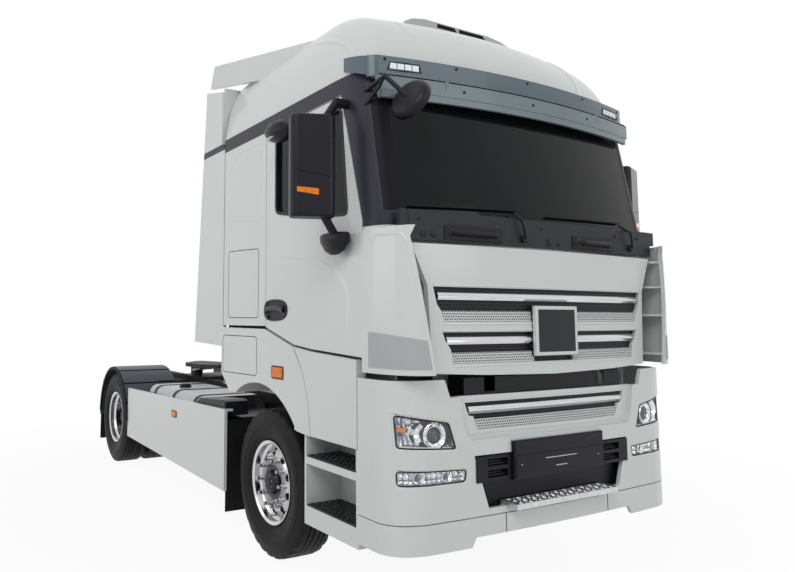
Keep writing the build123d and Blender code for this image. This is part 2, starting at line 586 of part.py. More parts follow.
HEADLAMP = [(850, 1154), (795, 985), (1188, 1008), (1200, 1212)]
FOG_LAMP = [(728, 886), (742, 802), (1186, 806), (1190, 906)]
UPPER_MOUTH = [(-718, 1246), (718, 1246), (690, 1172), (655, 1166), (622, 1088), (-622, 1088), (-655, 1166), (-690, 1172)]
LOWER_MOUTH = [(-684, 948), (684, 948), (584, 645), (-584, 645)]
SUNK_PANEL = [(-800, 1400), (800, 1400), (748, 1095), (704, 1036), (-704, 1036), (-748, 1095)]
SUNK_RIM = [(-824, 1400), (824, 1400), (772, 1088), (716, 1014), (-716, 1014), (-772, 1088)]
SUNK_DEPTH = 35
SUNK_WALL = 20
RECESS = [(-900, 1420), (900, 1420), (850, 1285), (-850, 1285)]


def mirrored(points):
    """The same outline on the other side of the centre plane."""
    return [(-x, z) for x, z in points]


with BuildPart() as bumper:
    bumper_shell(LIP_TOP + 6, 1385)
    front_shape(SUNK_PANEL, NOSE_FRONT, NOSE_CUT_BACK, mode=Mode.SUBTRACT)
    with BuildPart(mode=Mode.PRIVATE) as sunk:
        bumper_shell(1000, 1400, wall=SUNK_DEPTH + SUNK_WALL)
        with BuildPart(mode=Mode.PRIVATE) as rim:
            front_shape(SUNK_RIM, NOSE_FRONT, NOSE_CUT_BACK)
        add(rim.part, mode=Mode.INTERSECT)
        with BuildPart(mode=Mode.PRIVATE) as pocket:
            bumper_shell(990, 1410, inset=-5, wall=SUNK_DEPTH + 5)
            with BuildPart(mode=Mode.PRIVATE) as opening:
                front_shape(SUNK_PANEL, NOSE_FRONT - 10, NOSE_CUT_BACK)
            add(opening.part, mode=Mode.INTERSECT)
        add(pocket.part, mode=Mode.SUBTRACT)
    add(sunk.part)
    for points in (HEADLAMP, mirrored(HEADLAMP), FOG_LAMP, mirrored(FOG_LAMP), UPPER_MOUTH, LOWER_MOUTH, RECESS):
        front_shape(points, NOSE_FRONT, NOSE_CUT_BACK, mode=Mode.SUBTRACT)
    for side in (-1, 1):
        block((side * 720, side * 790), (BUMPER_MID_Y + 30, BEAM_FRONT), (660, 755))
save(bumper, "bumper")

with BuildPart() as front_lip:
    bumper_shell(LIP_BASE, LIP_TOP)
    bumper_shell(LIP_TOP - 40, LIP_TOP + 30, inset=BUMPER_WALL - 1, wall=13)
    bumper_shell(LIP_TOP, LIP_TOP + 40, inset=0, wall=BUMPER_WALL + SEAT_GAP, mode=Mode.SUBTRACT)
    front_shape([(-720, LIP_BASE - 10), (-680, LIP_MIDDLE), (680, LIP_MIDDLE), (720, LIP_BASE - 10)], NOSE_FRONT,
                BEAM_FRONT, mode=Mode.SUBTRACT)
save(front_lip, "front_lip")

LAMP_DEPTH = 70
with BuildPart() as front_lamps:
    bumper_shell(780, 1230, inset=4, wall=LAMP_DEPTH)
    with BuildPart(mode=Mode.PRIVATE) as windows:
        for points in (HEADLAMP, mirrored(HEADLAMP), FOG_LAMP, mirrored(FOG_LAMP)):
            front_shape(points, NOSE_FRONT, NOSE_CUT_BACK)
    add(windows.part, mode=Mode.INTERSECT)
save(front_lamps, "front_lamps")

MESH_WALL = 8
INSERT_BACK = -1580
PLATE_HOLDER = ((-400, 400), (-1672, INSERT_BACK), (788, 1013))
TREAD = ((-450, 450), (-1732, -1600), (636, 668))
with BuildPart() as bumper_grille:
    bumper_shell(1035, 1280, inset=SUNK_DEPTH + SUNK_WALL + SEAT_GAP, wall=MESH_WALL)
    block((-760, 760), (NOSE_FRONT, -1500), (1000, 1280), mode=Mode.INTERSECT)
    block((-705, 705), (INSERT_BACK - MESH_WALL, INSERT_BACK), (640, 1385))
    block((-700, 700), (-1597, INSERT_BACK), (1036, 1060))
    block(*PLATE_HOLDER)
    block(*TREAD)
    block((-380, 380), (TREAD[1][1] - 5, INSERT_BACK), (636, 668))
    for side in (-1, 1):
        block((side * 400, side * 676), (-1650, INSERT_BACK), (796, 940))
        for z in (816, 880):
            block((side * 430, side * 590), (-1660, -1600), (z, z + 42), mode=Mode.SUBTRACT)
        block((side * (ARM_X[0] - 15), side * (ARM_X[1] + 15)), (INSERT_BACK - 20, INSERT_BACK + 10), (1300, 1400),
              mode=Mode.SUBTRACT)
    add(bumper.part, mode=Mode.SUBTRACT)
save(bumper_grille, "bumper_grille")

with BuildPart() as radiator:
    block((-330, 330), (-1320, -1220), (640, 1400))
    for side in (-1, 1):
        block((side * 320, side * (RAIL_OUT - RAIL_FLANGE)), (-1300, -1240), (RAIL_BASE + 60, RAIL_BASE + 160))
save(radiator, "radiator")

# Cab shell: bowed front, flat sides, floor that steps down ahead of the wheels
LEVELS = [(SHELL_BASE, -1305, 1000, -1530, -1600), (SCREEN_BOTTOM, -1305, 1110, -1500, -1600),
          (SCREEN_TOP + 25, -1090, 1110, -1358, -1455), (SHELL_TOP, -1010, 1090, -1325, -1420)]
ROOF_LEVELS = [(SHELL_TOP, CAB_HALF - 12, -1010, 1080, -1325, -1420, CAB_REAR + 20),
               (3540, 1140, -900, 1000, -1210, -1330, CAB_REAR + 60),
               (3720, 1060, -760, 900, -1040, -1150, CAB_REAR + 60),
               (ROOF_TOP, 930, -520, 800, -790, -900, CAB_REAR - 20)]


def cab_solid(inset, mode=Mode.ADD):
    """Loft of the cab's outline, set in by a wall."""
    sections = [nose(z, CAB_HALF - inset, y_side, x_corner - inset * 0.4, y_corner + inset, y_mid + inset,
                     CAB_REAR - inset) for z, y_side, x_corner, y_corner, y_mid in LEVELS]
    loft(sections, ruled=True, mode=mode)


def roof_solid(inset, drop, mode=Mode.ADD):
    """Loft of the high roof, set in by a wall and lowered by the roof's thickness."""
    sections = [nose(z - drop, half - inset, y_side, x_corner - inset * 0.4, y_corner + inset, y_mid + inset, back - inset)
                for z, half, y_side, x_corner, y_corner, y_mid, back in ROOF_LEVELS]
    loft(sections, mode=mode)


DOOR_OUTLINE = [(DOOR_REAR, DOOR_TOP), (DOOR_REAR, FLOOR_REAR_Z - 8), SILL_REAR, SILL_STEP, SILL_MID,
                (DOOR_FRONT, SILL_FRONT_Z), (DOOR_FRONT, PILLAR_FOOT_Z), (PILLAR_HEAD_Y, DOOR_TOP)]
CAVITY = [(-1700, SHELL_TOP + 10), (-1700, SHELL_BASE + 150), (-1300, 1570), (SILL_MID[0], 1600), (SILL_STEP[0], 1625),
          (SILL_REAR[0], 1660), (DOOR_REAR, FLOOR_REAR_Z + 60), (900, FLOOR_REAR_Z + 60), (900, SHELL_TOP + 10)]
UNDERSIDE = [(CAB_REAR + 50, FLOOR_REAR_Z), (DOOR_REAR, FLOOR_REAR_Z), (SILL_REAR[0], SILL_REAR[1]), SILL_STEP, SILL_MID,
             (DOOR_FRONT, SILL_FRONT_Z), (DOOR_FRONT - 10, SHELL_BASE), (-1800, SHELL_BASE), (-1800, 1000), (CAB_REAR + 50, 1000)]
SCREEN = [(-1178, SCREEN_BOTTOM), (1178, SCREEN_BOTTOM), (1172, SCREEN_TOP), (-1172, SCREEN_TOP)]
SEAL = 40
with BuildPart() as cab_shell:
    cab_solid(0)
    with BuildPart(mode=Mode.PRIVATE) as cavity:
        cab_solid(CAB_WALL)
        with BuildSketch(side_plane(-CAB_HALF)) as room:
            with BuildLine():
                Polyline(*CAVITY, close=True)
            make_face()
        extrude(room.sketch, amount=2 * CAB_HALF, dir=(1, 0, 0), mode=Mode.INTERSECT)
    add(cavity.part, mode=Mode.SUBTRACT)
    side_shape(UNDERSIDE, -CAB_HALF - 50, CAB_HALF + 50, mode=Mode.SUBTRACT)
    front_shape(SCREEN, NOSE_FRONT, -1200, mode=Mode.SUBTRACT)
    for side in (-1, 1):
        x = sorted((side * (CAB_HALF - CAB_WALL - DOOR_GAP), side * (CAB_HALF + 50)))
        with BuildSketch(side_plane(x[0])) as opening:
            with BuildLine():
                Polyline(*DOOR_OUTLINE, close=True)
            make_face()
            offset(amount=DOOR_GAP, kind=Kind.INTERSECTION)
        extrude(opening.sketch, amount=x[1] - x[0], dir=(1, 0, 0), mode=Mode.SUBTRACT)
        side_shape([(DOOR_REAR, SILL_FRONT_Z - 100), (DOOR_REAR + DOOR_GAP, FLOOR_REAR_Z + 10), (SILL_REAR[0], SILL_REAR[1] + 20),
                    (DOOR_FRONT - DOOR_GAP, SILL_FRONT_Z + 20), (DOOR_FRONT - DOOR_GAP, SILL_FRONT_Z - 100)], *x, mode=Mode.SUBTRACT)
        x = sorted((side * (CAB_HALF - CAB_WALL - DOOR_GAP), side * (CAB_HALF - CAB_WALL - DOOR_GAP - 20)))
        with BuildSketch(side_plane(x[0])) as seal:
            with BuildLine():
                Polyline(*DOOR_OUTLINE, close=True)
            make_face()
            offset(amount=DOOR_GAP + 4, kind=Kind.INTERSECTION)
            with BuildSketch(mode=Mode.PRIVATE) as inner:
                with BuildLine():
                    Polyline(*DOOR_OUTLINE, close=True)
                make_face()
                offset(amount=-SEAL, kind=Kind.INTERSECTION)
            add(inner.sketch, mode=Mode.SUBTRACT)
        extrude(seal.sketch, amount=x[1] - x[0], dir=(1, 0, 0))
    side_shape(UNDERSIDE, -CAB_HALF - 50, CAB_HALF + 50, mode=Mode.SUBTRACT)
    for side in (-1, 1):
        # Arms down to the tilt pivot
        x = sorted((side * ARM_X[0], side * ARM_X[1]))
        side_shape([(PIVOT_Y, PIVOT_Z - 45), (ARM_Y[1] - 40, PIVOT_Z - 45), (ARM_Y[1], PIVOT_Z), (ARM_Y[1], 1560),
                    (ARM_Y[0], 1560), (ARM_Y[0], PIVOT_Z + 60), (ARM_Y[0] - 15, PIVOT_Z + 45), (PIVOT_Y, PIVOT_Z + 45)], *x)
        rod((x[0], PIVOT_Y, PIVOT_Z), (x[1], PIVOT_Y, PIVOT_Z), PIVOT_R + 24)
        rod((x[0] - 5, PIVOT_Y, PIVOT_Z), (x[1] + 5, PIVOT_Y, PIVOT_Z), PIVOT_R + SEAT_GAP, mode=Mode.SUBTRACT)
        # Buffers behind the lid
        for z in (LID_BASE + 60, LID_TOP - 60):
            block((side * 700, side * 760), (-1640, -1490), (z - 20, z + 20))
    band(LID_ARC_HALF, LID_SIDE_Y - 200, LID_MID_Y - 200, 200 + LID_WALL + SEAT_GAP, LID_BASE - 50, LID_TOP + 10, mode=Mode.SUBTRACT)
    for side in (-1, 1):
        # Pins and brackets that carry the lid
        rod((side * 60, LID_PIN_Y, LID_PIN_Z), (side * 180, LID_PIN_Y, LID_PIN_Z), LID_PIN_R)
        block((side * 90, side * 150), (LID_PIN_Y, -1590), (LID_PIN_Z - 6, LID_PIN_Z + 6))
        # Half-round hinge bosses for the doors
        for z in HINGE_Z:
            rod((side * CAB_HALF, DOOR_FRONT, z - 40), (side * CAB_HALF, DOOR_FRONT, z + 40), HINGE_R)
        block((side * CAB_HALF, side * (CAB_HALF + 60)), (DOOR_FRONT - 40, DOOR_FRONT + 40),
              (HINGE_Z[0] - 60, HINGE_Z[-1] + 60), mode=Mode.SUBTRACT)
save(cab_shell, "cab_shell")

with BuildPart() as windshield:
    with BuildPart(mode=Mode.PRIVATE) as inner_face:
        cab_solid(GLASS_WALL)
    cab_solid(0)
    add(inner_face.part, mode=Mode.SUBTRACT)
    front_shape([(x - SEAT_GAP if x > 0 else x + SEAT_GAP, z + SEAT_GAP if z == SCREEN_BOTTOM else z - SEAT_GAP)
                 for x, z in SCREEN], NOSE_FRONT, -1200, mode=Mode.INTERSECT)
save(windshield, "windshield")


# High roof over the shell, with a raised frame round its hatch
ROOF_WALL = 45
HATCH = ((-430, 430), (-830, -470))
HATCH_BASE = 3858
HATCH_WALL = 42
HATCH_RIM = 28
with BuildPart() as roof_form:
    roof_solid(0, 0)
with BuildPart() as roof:
    add(roof_form.part)
    with BuildPart(mode=Mode.PRIVATE) as room:
        roof_solid(ROOF_WALL, ROOF_WALL)
        block((-CAB_HALF, CAB_HALF), (-1600, CAB_REAR + 200), (SHELL_TOP - 100, SHELL_TOP + 12), mode=Mode.INTERSECT)
        roof_solid(ROOF_WALL, ROOF_WALL)
    add(room.part, mode=Mode.SUBTRACT)
    block((HATCH[0][0] + 8, HATCH[0][1] - 8), (HATCH[1][0] + 8, HATCH[1][1] - 8), (ROOF_TOP - 20, HATCH_BASE - SEAT_GAP))
    block((HATCH[0][0] + HATCH_RIM, HATCH[0][1] - HATCH_RIM), (HATCH[1][0] + HATCH_RIM, HATCH[1][1] - HATCH_RIM),
          (ROOF_TOP - 100, HATCH_BASE + 1), mode=Mode.SUBTRACT)
    for side in (-1, 1):
        # Hinge rods for the hatch, on low seats behind its frame
        rod((side * 200, HATCH[1][1], HATCH_BASE), (side * 300, HATCH[1][1], HATCH_BASE), HINGE_R)
        block((side * 200, side * 300), (HATCH[1][1] - 8, HATCH[1][1] + HINGE_R), (ROOF_TOP - 20, HATCH_BASE))
save(roof, "roof")

# Sun visor in two bands that wrap round to the cab's sides
VISOR_X = 1130
VISOR_SIDE_Y = -1420
VISOR_MID_Y = -1545
VISOR_BASE = 3052
VISOR_STEP = 3200
VISOR_TOP = 3322
VISOR_END_Y = -1150
VISOR_RISE = 45
VISOR_WALL = 22
VISOR_SET = 40


def visor_band(z0, z1, back, wall):
    """One band of the visor, set back from the lower band's face."""
    for depth, how in ((0, Mode.ADD), (wall, Mode.SUBTRACT)):
        shape = nose(z0, CAB_HALF + 12 - depth, VISOR_END_Y + 10, VISOR_X - depth, VISOR_SIDE_Y + back + depth,
                     VISOR_MID_Y + back + depth, VISOR_END_Y + 15 + (2 if depth else 0))
        extrude(shape, amount=z1 - z0, dir=(0, 0, 1), mode=how)


with BuildPart() as visor:
    with BuildPart(mode=Mode.PRIVATE) as upper:
        visor_band(VISOR_STEP - 10, VISOR_TOP + VISOR_RISE, VISOR_SET, VISOR_WALL)
        side_shape([(-1700, VISOR_TOP), (-1330, VISOR_TOP), (VISOR_END_Y + 50, VISOR_TOP + VISOR_RISE),
                    (VISOR_END_Y + 50, 3500), (-1700, 3500)], -1300, 1300, mode=Mode.SUBTRACT)
        side_shape([(-1330, VISOR_STEP - 12), (VISOR_END_Y + 50, VISOR_STEP - 12), (VISOR_END_Y + 50, VISOR_STEP + 75),
                    (VISOR_END_Y, VISOR_STEP + 70), (-1330, VISOR_STEP + 2)], -1300, 1300, mode=Mode.SUBTRACT)
    with BuildPart(mode=Mode.PRIVATE) as shelf:
        visor_band(VISOR_STEP - 14, VISOR_STEP, 0, VISOR_SET + VISOR_WALL)
    visor_band(VISOR_BASE, VISOR_STEP, 0, VISOR_WALL)
    add(shelf.part)
    front_shape([(-1185, 3500), (-1150, VISOR_BASE), (1150, VISOR_BASE), (1185, 3500)], NOSE_FRONT, -1330,
                mode=Mode.INTERSECT)
    add(upper.part)
    for x in (-700, 0, 700):
        block((x - 20, x + 20), (-1500, -1385), (VISOR_STEP - 60, VISOR_STEP - 10))
    add(cab_shell.part, mode=Mode.SUBTRACT)
    add(roof_form.part, mode=Mode.SUBTRACT)
save(visor, "visor")

# Cowl between the lid and the windshield
GUIDE_TOP = 2250
COWL_WALL = 30
with BuildPart() as cowl:
    band(1105, LID_SIDE_Y - 10, LID_MID_Y + 25, COWL_WALL, LID_TOP + 18, SCREEN_BOTTOM - 4)
    band(1160, LID_SIDE_Y - 3, LID_MID_Y + 25, COWL_WALL, GUIDE_TOP + 8, SCREEN_BOTTOM - 4)
    for x in (-800, 0, 800):
        block((x - 30, x + 30), (LID_MID_Y + 45, -1542), (LID_TOP + 40, SCREEN_BOTTOM - 60))
    add(cab_shell.part, mode=Mode.SUBTRACT)
save(cowl, "cowl")

# Air guides at the cab's front corners, standing off from the lid on short rungs
GUIDE_BACK = DOOR_FRONT - 8
GUIDE_TIP_Y = -1728
GUIDE_OUT = CAB_HALF + 14
GUIDE_WALL = 22
GUIDE_EDGE = 70


def guide_shape(depth, mode=Mode.ADD):
    """Plan outline from the door seam round to the free front edge, both sides."""
    for side in (-1, 1):
        with BuildSketch(plan_plane(SHELL_BASE)) as outline:
            with BuildLine():
                Line((side * 900, GUIDE_BACK), (side * (GUIDE_OUT - depth), GUIDE_BACK))
                Bezier((side * (GUIDE_OUT - depth), GUIDE_BACK), (side * (GUIDE_OUT - depth), GUIDE_TIP_Y + 38 + depth),
                       (side * (1120 - depth / 2), GUIDE_TIP_Y + depth), (side * 900, GUIDE_TIP_Y + depth))
                Line((side * 900, GUIDE_TIP_Y + depth), (side * 900, GUIDE_BACK))
            make_face()
        extrude(outline.sketch, amount=GUIDE_TOP - SHELL_BASE, dir=(0, 0, 1), mode=mode)


with BuildPart() as air_guides:
    guide_shape(0)
    with BuildPart(mode=Mode.PRIVATE) as inner:
        guide_shape(GUIDE_WALL)
    add(inner.part, mode=Mode.SUBTRACT)
    for side in (-1, 1):
        for z in (1480, 1750, 1950, 2130):
            plan_shape([(side * 1060, -1480), (side * 1180, -1400), (side * (GUIDE_OUT - 5), -1400),
                        (side * 1160, -1640), (side * 1072, -1690)], z, z + 14)
    front_shape([(-LID_HALF_BASE - GUIDE_EDGE, SHELL_BASE - 20), (LID_HALF_BASE + GUIDE_EDGE, SHELL_BASE - 20),
                 (LID_HALF_TOP + GUIDE_EDGE - 10, GUIDE_TOP - 60), (LID_HALF_TOP + GUIDE_EDGE - 40, GUIDE_TOP + 20),
                 (-LID_HALF_TOP - GUIDE_EDGE + 40, GUIDE_TOP + 20), (-LID_HALF_TOP - GUIDE_EDGE + 10, GUIDE_TOP - 60)],
                NOSE_FRONT, LID_SIDE_Y - 15, mode=Mode.SUBTRACT)
    clear = [(LID_HALF_BASE + LID_GAP, SHELL_BASE - 20), (LID_HALF_MID + LID_GAP, LID_MID_Z),
             (LID_HALF_TOP + LID_GAP, LID_TOP - 150), (LID_HALF_TOP + LID_GAP, GUIDE_TOP + 20)]
    front_shape([*clear, *[(-x, z) for x, z in reversed(clear)]], NOSE_FRONT, -1000, mode=Mode.SUBTRACT)
    add(cab_shell.part, mode=Mode.SUBTRACT)
save(air_guides, "air_guides")

# Roof wedge and the panels that close the gap behind the cab
WEDGE = [(-450, 3690), (-430, 3790), (1120, 4045), (1190, 3850), (300, 3690)]
WEDGE_PLAN = [(-985, -450), (985, -450), (1170, 1195), (-1170, 1195)]
with BuildPart() as roof_wedge:
    side_shape(WEDGE, -1170, 1170)
    plan_shape(WEDGE_PLAN, 3500, 4100, mode=Mode.INTERSECT)
    with BuildPart(mode=Mode.PRIVATE) as hollow:
        side_shape([(-380, 3500), (-360, 3770), (1215, 4015), (1215, 3500)], -1140, 1140)
        plan_shape([(-955, -420), (955, -420), (1140, 1235), (-1140, 1235)], 3400, 4100, mode=Mode.INTERSECT)
    add(hollow.part, mode=Mode.SUBTRACT)
    for x in (-500, 500):
        block((x - 20, x + 20), (400, 620), (3700, 3915))
    add(roof_form.part, mode=Mode.SUBTRACT)
save(roof_wedge, "roof_wedge")

SIDE_GUARD = [(CAB_REAR, 1500), (1360, 1520), (1148, 3787), (CAB_REAR + 75, 3700), (CAB_REAR + 75, SHELL_TOP - 10),
              (CAB_REAR, SHELL_TOP - 60)]
with BuildPart() as side_guards:
    for side in (-1, 1):
        x = sorted((side * (CAB_HALF - PANEL), side * CAB_HALF))
        side_shape(SIDE_GUARD, *x)
        for z in (1900, 3000):
            block((side * (CAB_HALF - PANEL - 60), side * (CAB_HALF - PANEL + 5)), (CAB_REAR, CAB_REAR + 260), (z, z + 60))
        block((side * 880, side * (CAB_HALF - PANEL + 5)), (CAB_REAR + 76, CAB_REAR + 96), (SHELL_TOP - 10, 3740))
save(side_guards, "side_guards")

# Hatch in the roof, hinged at its rear edge
with BuildPart() as roof_hatch:
    block(*HATCH, (HATCH_BASE, HATCH_BASE + HATCH_WALL))
    for side in (-1, 1):
        rod((side * 199, HATCH[1][1], HATCH_BASE), (side * 301, HATCH[1][1], HATCH_BASE), HINGE_R + SEAT_GAP,
            mode=Mode.SUBTRACT)
save(roof_hatch, "roof_hatch")

# Inside the cab: dashboard with wheel, seats and bunk
FLOOR_TOP = FLOOR_REAR_Z + 60
BUNK_HALF = CAB_HALF - CAB_WALL - SEAT_GAP
with BuildPart() as dashboard:
    block((-1100, 1100), (-1330, -1020), (2020, 2330))
    block((-330, 330), (-1250, -1080), (1560, 2040))
    block((-950, 950), (-1500, -1320), (2060, 2330))
    rod((560, -1060, 2130), (560, -900, 2425), 26)
    with BuildSketch(Plane(origin=(560, FRONT_AXLE_Y - 900, 2420), z_dir=(0, 0.45, 0.89))) as rim_path:
        Circle(222)
        Circle(192, mode=Mode.SUBTRACT)
        Rectangle(400, 40)
        Circle(60)
    extrude(rim_path.sketch, amount=26)
    add(cab_shell.part, mode=Mode.SUBTRACT)
save(dashboard, "dashboard")

with BuildPart() as seats:
    for side in (-1, 1):
        x = (side * 320, side * 840)
        block((side * 420, side * 740), (-700, -300), (FLOOR_TOP - 95, 2060))
        block(x, (-780, -250), (2050, 2210))
        side_shape([(-290, 2200), (-130, 2190), (-10, 2960), (-120, 2980)], *sorted(x))
    block((-BUNK_HALF, BUNK_HALF), (60, CAB_REAR - CAB_WALL - SEAT_GAP), (2130, 2270))
    for side in (-1, 1):
        block((side * 1000, side * 1040), (100, CAB_REAR - CAB_WALL - SEAT_GAP), (FLOOR_TOP, 2140))
    add(cab_shell.part, mode=Mode.SUBTRACT)
save(seats, "seats")

# Doors: full-thickness leaf, glass and mirror on each side
WINDOW = [(-210, 3070), (-210, 2500), (-700, 2410), (-1150, 2368), (-1085, 3060)]
MIRROR_X = (1345, 1620)
MIRROR_Y = (-1235, -1095)
MIRROR_Z = (2325, 2945)
MIRROR_SWEEP = 22
DOOR_GLASS_X = (CAB_HALF - 28, CAB_HALF - 22)
for side, hand in ((-1, "r"), (1, "l")):
    with BuildPart() as door:
        x = sorted((side * (CAB_HALF - CAB_WALL), side * CAB_HALF))
        side_shape(DOOR_OUTLINE, *x)
        side_shape(WINDOW, x[0] - 5, x[1] + 5, mode=Mode.SUBTRACT)
        for z in HINGE_Z:
            rod((side * CAB_HALF, DOOR_FRONT, z - 41), (side * CAB_HALF, DOOR_FRONT, z + 41), HINGE_R + SEAT_GAP,
                mode=Mode.SUBTRACT)
    save(door, f"door_{hand}")

    with BuildPart() as door_glass:
        x = sorted((side * DOOR_GLASS_X[0], side * DOOR_GLASS_X[1]))
        with BuildSketch(side_plane(x[0])) as pane:
            with BuildLine():
                Polyline(*WINDOW, close=True)
            make_face()
            offset(amount=-SEAT_GAP, kind=Kind.INTERSECTION)
        extrude(pane.sketch, amount=x[1] - x[0], dir=(1, 0, 0))
    save(door_glass, f"door_glass_{hand}")

    with BuildPart() as mirror_body:
        middle = (side * sum(MIRROR_X) / 2, FRONT_AXLE_Y + sum(MIRROR_Y) / 2, sum(MIRROR_Z) / 2)
        with Locations(Location(middle, (0, 0, side * MIRROR_SWEEP))):
            Box(MIRROR_X[1] - MIRROR_X[0], MIRROR_Y[1] - MIRROR_Y[0], MIRROR_Z[1] - MIRROR_Z[0])
        fillet(mirror_body.edges().filter_by(Axis.Z), 45)
        fillet(mirror_body.edges().group_by(Axis.Z)[-1] + mirror_body.edges().group_by(Axis.Z)[0], 20)
        for start, end in (((1300, -1150, 3060), (1400, -1165, 2925)), ((1300, -1150, 2215), (1400, -1165, 2345))):
            rod((side * start[0], *start[1:]), (side * end[0], *end[1:]), 26)
        for z in (3060, 2215):
            rod((side * (CAB_HALF + SEAT_GAP), -1150, z), (side * 1315, -1150, z), 30)
    save(mirror_body, f"mirror_{hand}")

# Lid with the two upper grilles
LID_EDGE = [(-LID_HALF_TOP, LID_TOP), (LID_HALF_TOP, LID_TOP), (LID_HALF_MID, LID_MID_Z), (LID_HALF_BASE, LID_BASE),
            (LID_HALF_BASE * 0.6, LID_BASE - 18), (0, LID_BASE_MID), (-LID_HALF_BASE * 0.6, LID_BASE - 18),
            (-LID_HALF_BASE, LID_BASE), (-LID_HALF_MID, LID_MID_Z)]
GRILLES = [((942, 1915), (916, 1812), (886, 1772), (870, 1712)), ((882, 1655), (860, 1600), (826, 1555), (810, 1470))]
with BuildPart() as front_lid:
    band(LID_ARC_HALF, LID_SIDE_Y, LID_MID_Y, LID_WALL, LID_BASE_MID - 20, LID_TOP)
    front_shape(LID_EDGE, NOSE_FRONT, -1400, mode=Mode.INTERSECT)
    for corners in GRILLES:
        front_shape([*corners, *[(-x, z) for x, z in reversed(corners)]], NOSE_FRONT, -1400, mode=Mode.SUBTRACT)
    for side in (-1, 1):
        rod((side * 55, LID_PIN_Y, LID_PIN_Z), (side * 185, LID_PIN_Y, LID_PIN_Z), LID_PIN_R + SEAT_GAP, mode=Mode.SUBTRACT)
        block((side * 84, side * 156), (LID_PIN_Y - 12, LID_PIN_Y + 40), (LID_PIN_Z - 12, LID_TOP + 10), mode=Mode.SUBTRACT)
save(front_lid, "front_lid")

with BuildPart() as grille:
    with BuildPart(mode=Mode.PRIVATE) as mesh:
        band(LID_ARC_HALF, LID_SIDE_Y + LID_WALL - 12, LID_MID_Y + LID_WALL - 12, MESH_WALL, 1400, 1960)
        front_shape([(954, 1925), (898, 1655), (826, 1462), (-826, 1462), (-898, 1655), (-954, 1925)], NOSE_FRONT, -1400,
                    mode=Mode.INTERSECT)
        add(front_lid.part, mode=Mode.SUBTRACT)
    add(mesh.part)
    block((-190, 190), (LID_MID_Y - 25, LID_MID_Y + LID_WALL + 4), (1505, 1810))
    add(front_lid.part, mode=Mode.SUBTRACT)
save(grille, "grille")

# Round look-down mirror over the kerb side of the windshield
KERB_CENTRE = (-1047, -1580, 2990)
KERB_AXIS = (-0.87, -0.16, 0.42)
KERB_R = 130
KERB_DEPTH = 60
with BuildPart() as kerb_mirror:
    with BuildSketch(Plane(origin=(KERB_CENTRE[0], FRONT_AXLE_Y + KERB_CENTRE[1], KERB_CENTRE[2]), z_dir=KERB_AXIS)) as disc:
        Circle(KERB_R)
    extrude(disc.sketch, amount=KERB_DEPTH)
    fillet(kerb_mirror.edges().sort_by(Axis((0, 0, 0), KERB_AXIS))[-1], 40)
    rod((-1180, -1270, 3110), (-1180, -1500, 3148), 14)
    rod((-1180, -1492, 3148), (KERB_CENTRE[0] - 40, KERB_CENTRE[1] - 5, KERB_CENTRE[2] + 20), 14)
    rod((-1185, -1300, 3020), (-1180, -1440, 3100), 10)
    rod((-1180, -1430, 3095), (-1180, -1485, 3145), 10)
    add(cab_shell.part, mode=Mode.SUBTRACT)
save(kerb_mirror, "kerb_mirror")
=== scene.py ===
"""Looks of the cab-over tractor unit: finishes, trim, lamps, tread and the studio round it.

Metres, in the part's frame: +X the vehicle's left, the front faces -Y, +Z up.
"""
import json
from math import cos, pi, radians, sin, sqrt

import bmesh
import bpy
from mathutils import Matrix, Vector


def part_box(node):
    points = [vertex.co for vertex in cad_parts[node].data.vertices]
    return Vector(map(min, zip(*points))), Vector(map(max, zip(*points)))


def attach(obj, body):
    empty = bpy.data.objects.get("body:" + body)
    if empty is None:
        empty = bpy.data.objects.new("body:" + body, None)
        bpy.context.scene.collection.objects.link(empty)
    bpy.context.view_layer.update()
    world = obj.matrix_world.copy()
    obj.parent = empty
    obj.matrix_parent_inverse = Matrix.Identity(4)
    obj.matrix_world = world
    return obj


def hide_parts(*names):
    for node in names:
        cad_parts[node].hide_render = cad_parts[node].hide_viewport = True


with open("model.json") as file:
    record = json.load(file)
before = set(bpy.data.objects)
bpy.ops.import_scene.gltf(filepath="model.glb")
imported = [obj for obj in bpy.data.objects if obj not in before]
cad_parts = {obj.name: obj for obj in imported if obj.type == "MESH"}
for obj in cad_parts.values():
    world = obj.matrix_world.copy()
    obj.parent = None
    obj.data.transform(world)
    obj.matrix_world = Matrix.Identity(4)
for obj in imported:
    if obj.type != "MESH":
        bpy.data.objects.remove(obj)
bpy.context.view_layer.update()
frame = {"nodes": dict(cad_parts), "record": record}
NODES = frame["nodes"]
scene = bpy.context.scene


def joint_place(name):
    """Position of a joint at rest."""
    for joint in frame["record"]["behaviour"]["joints"]:
        if joint["name"] == name:
            return Vector(joint["pos_m"])
    raise KeyError(name)


FRONT_WHEEL = joint_place("left_front_roll")
REAR_WHEEL = joint_place("left_rear_roll")
AXLE_Y = FRONT_WHEEL.y
REAR_AXLE_Y = REAR_WHEEL.y
AXLE_Z = FRONT_WHEEL.z
REAR = REAR_AXLE_Y - AXLE_Y
UP = Vector((0, 0, 1))
HANDS = ((-1, "r"), (1, "l"))
SIDES = ((-1, "r", "right"), (1, "l", "left"))


# Studio and camera
CAMERA_PLACE = (-3.586, AXLE_Y - 4.678, 1.729)
CAMERA_YAW = radians(29.916)
CAMERA_PITCH = radians(5.717)
CAMERA_ROLL = radians(0.081)
PHOTO_SIZE = (795, 572)
FOCAL_PIXELS = 696
OPTICAL_CENTRE = (300, 249)
SENSOR = 36.0
FLOOR_HALF = 40


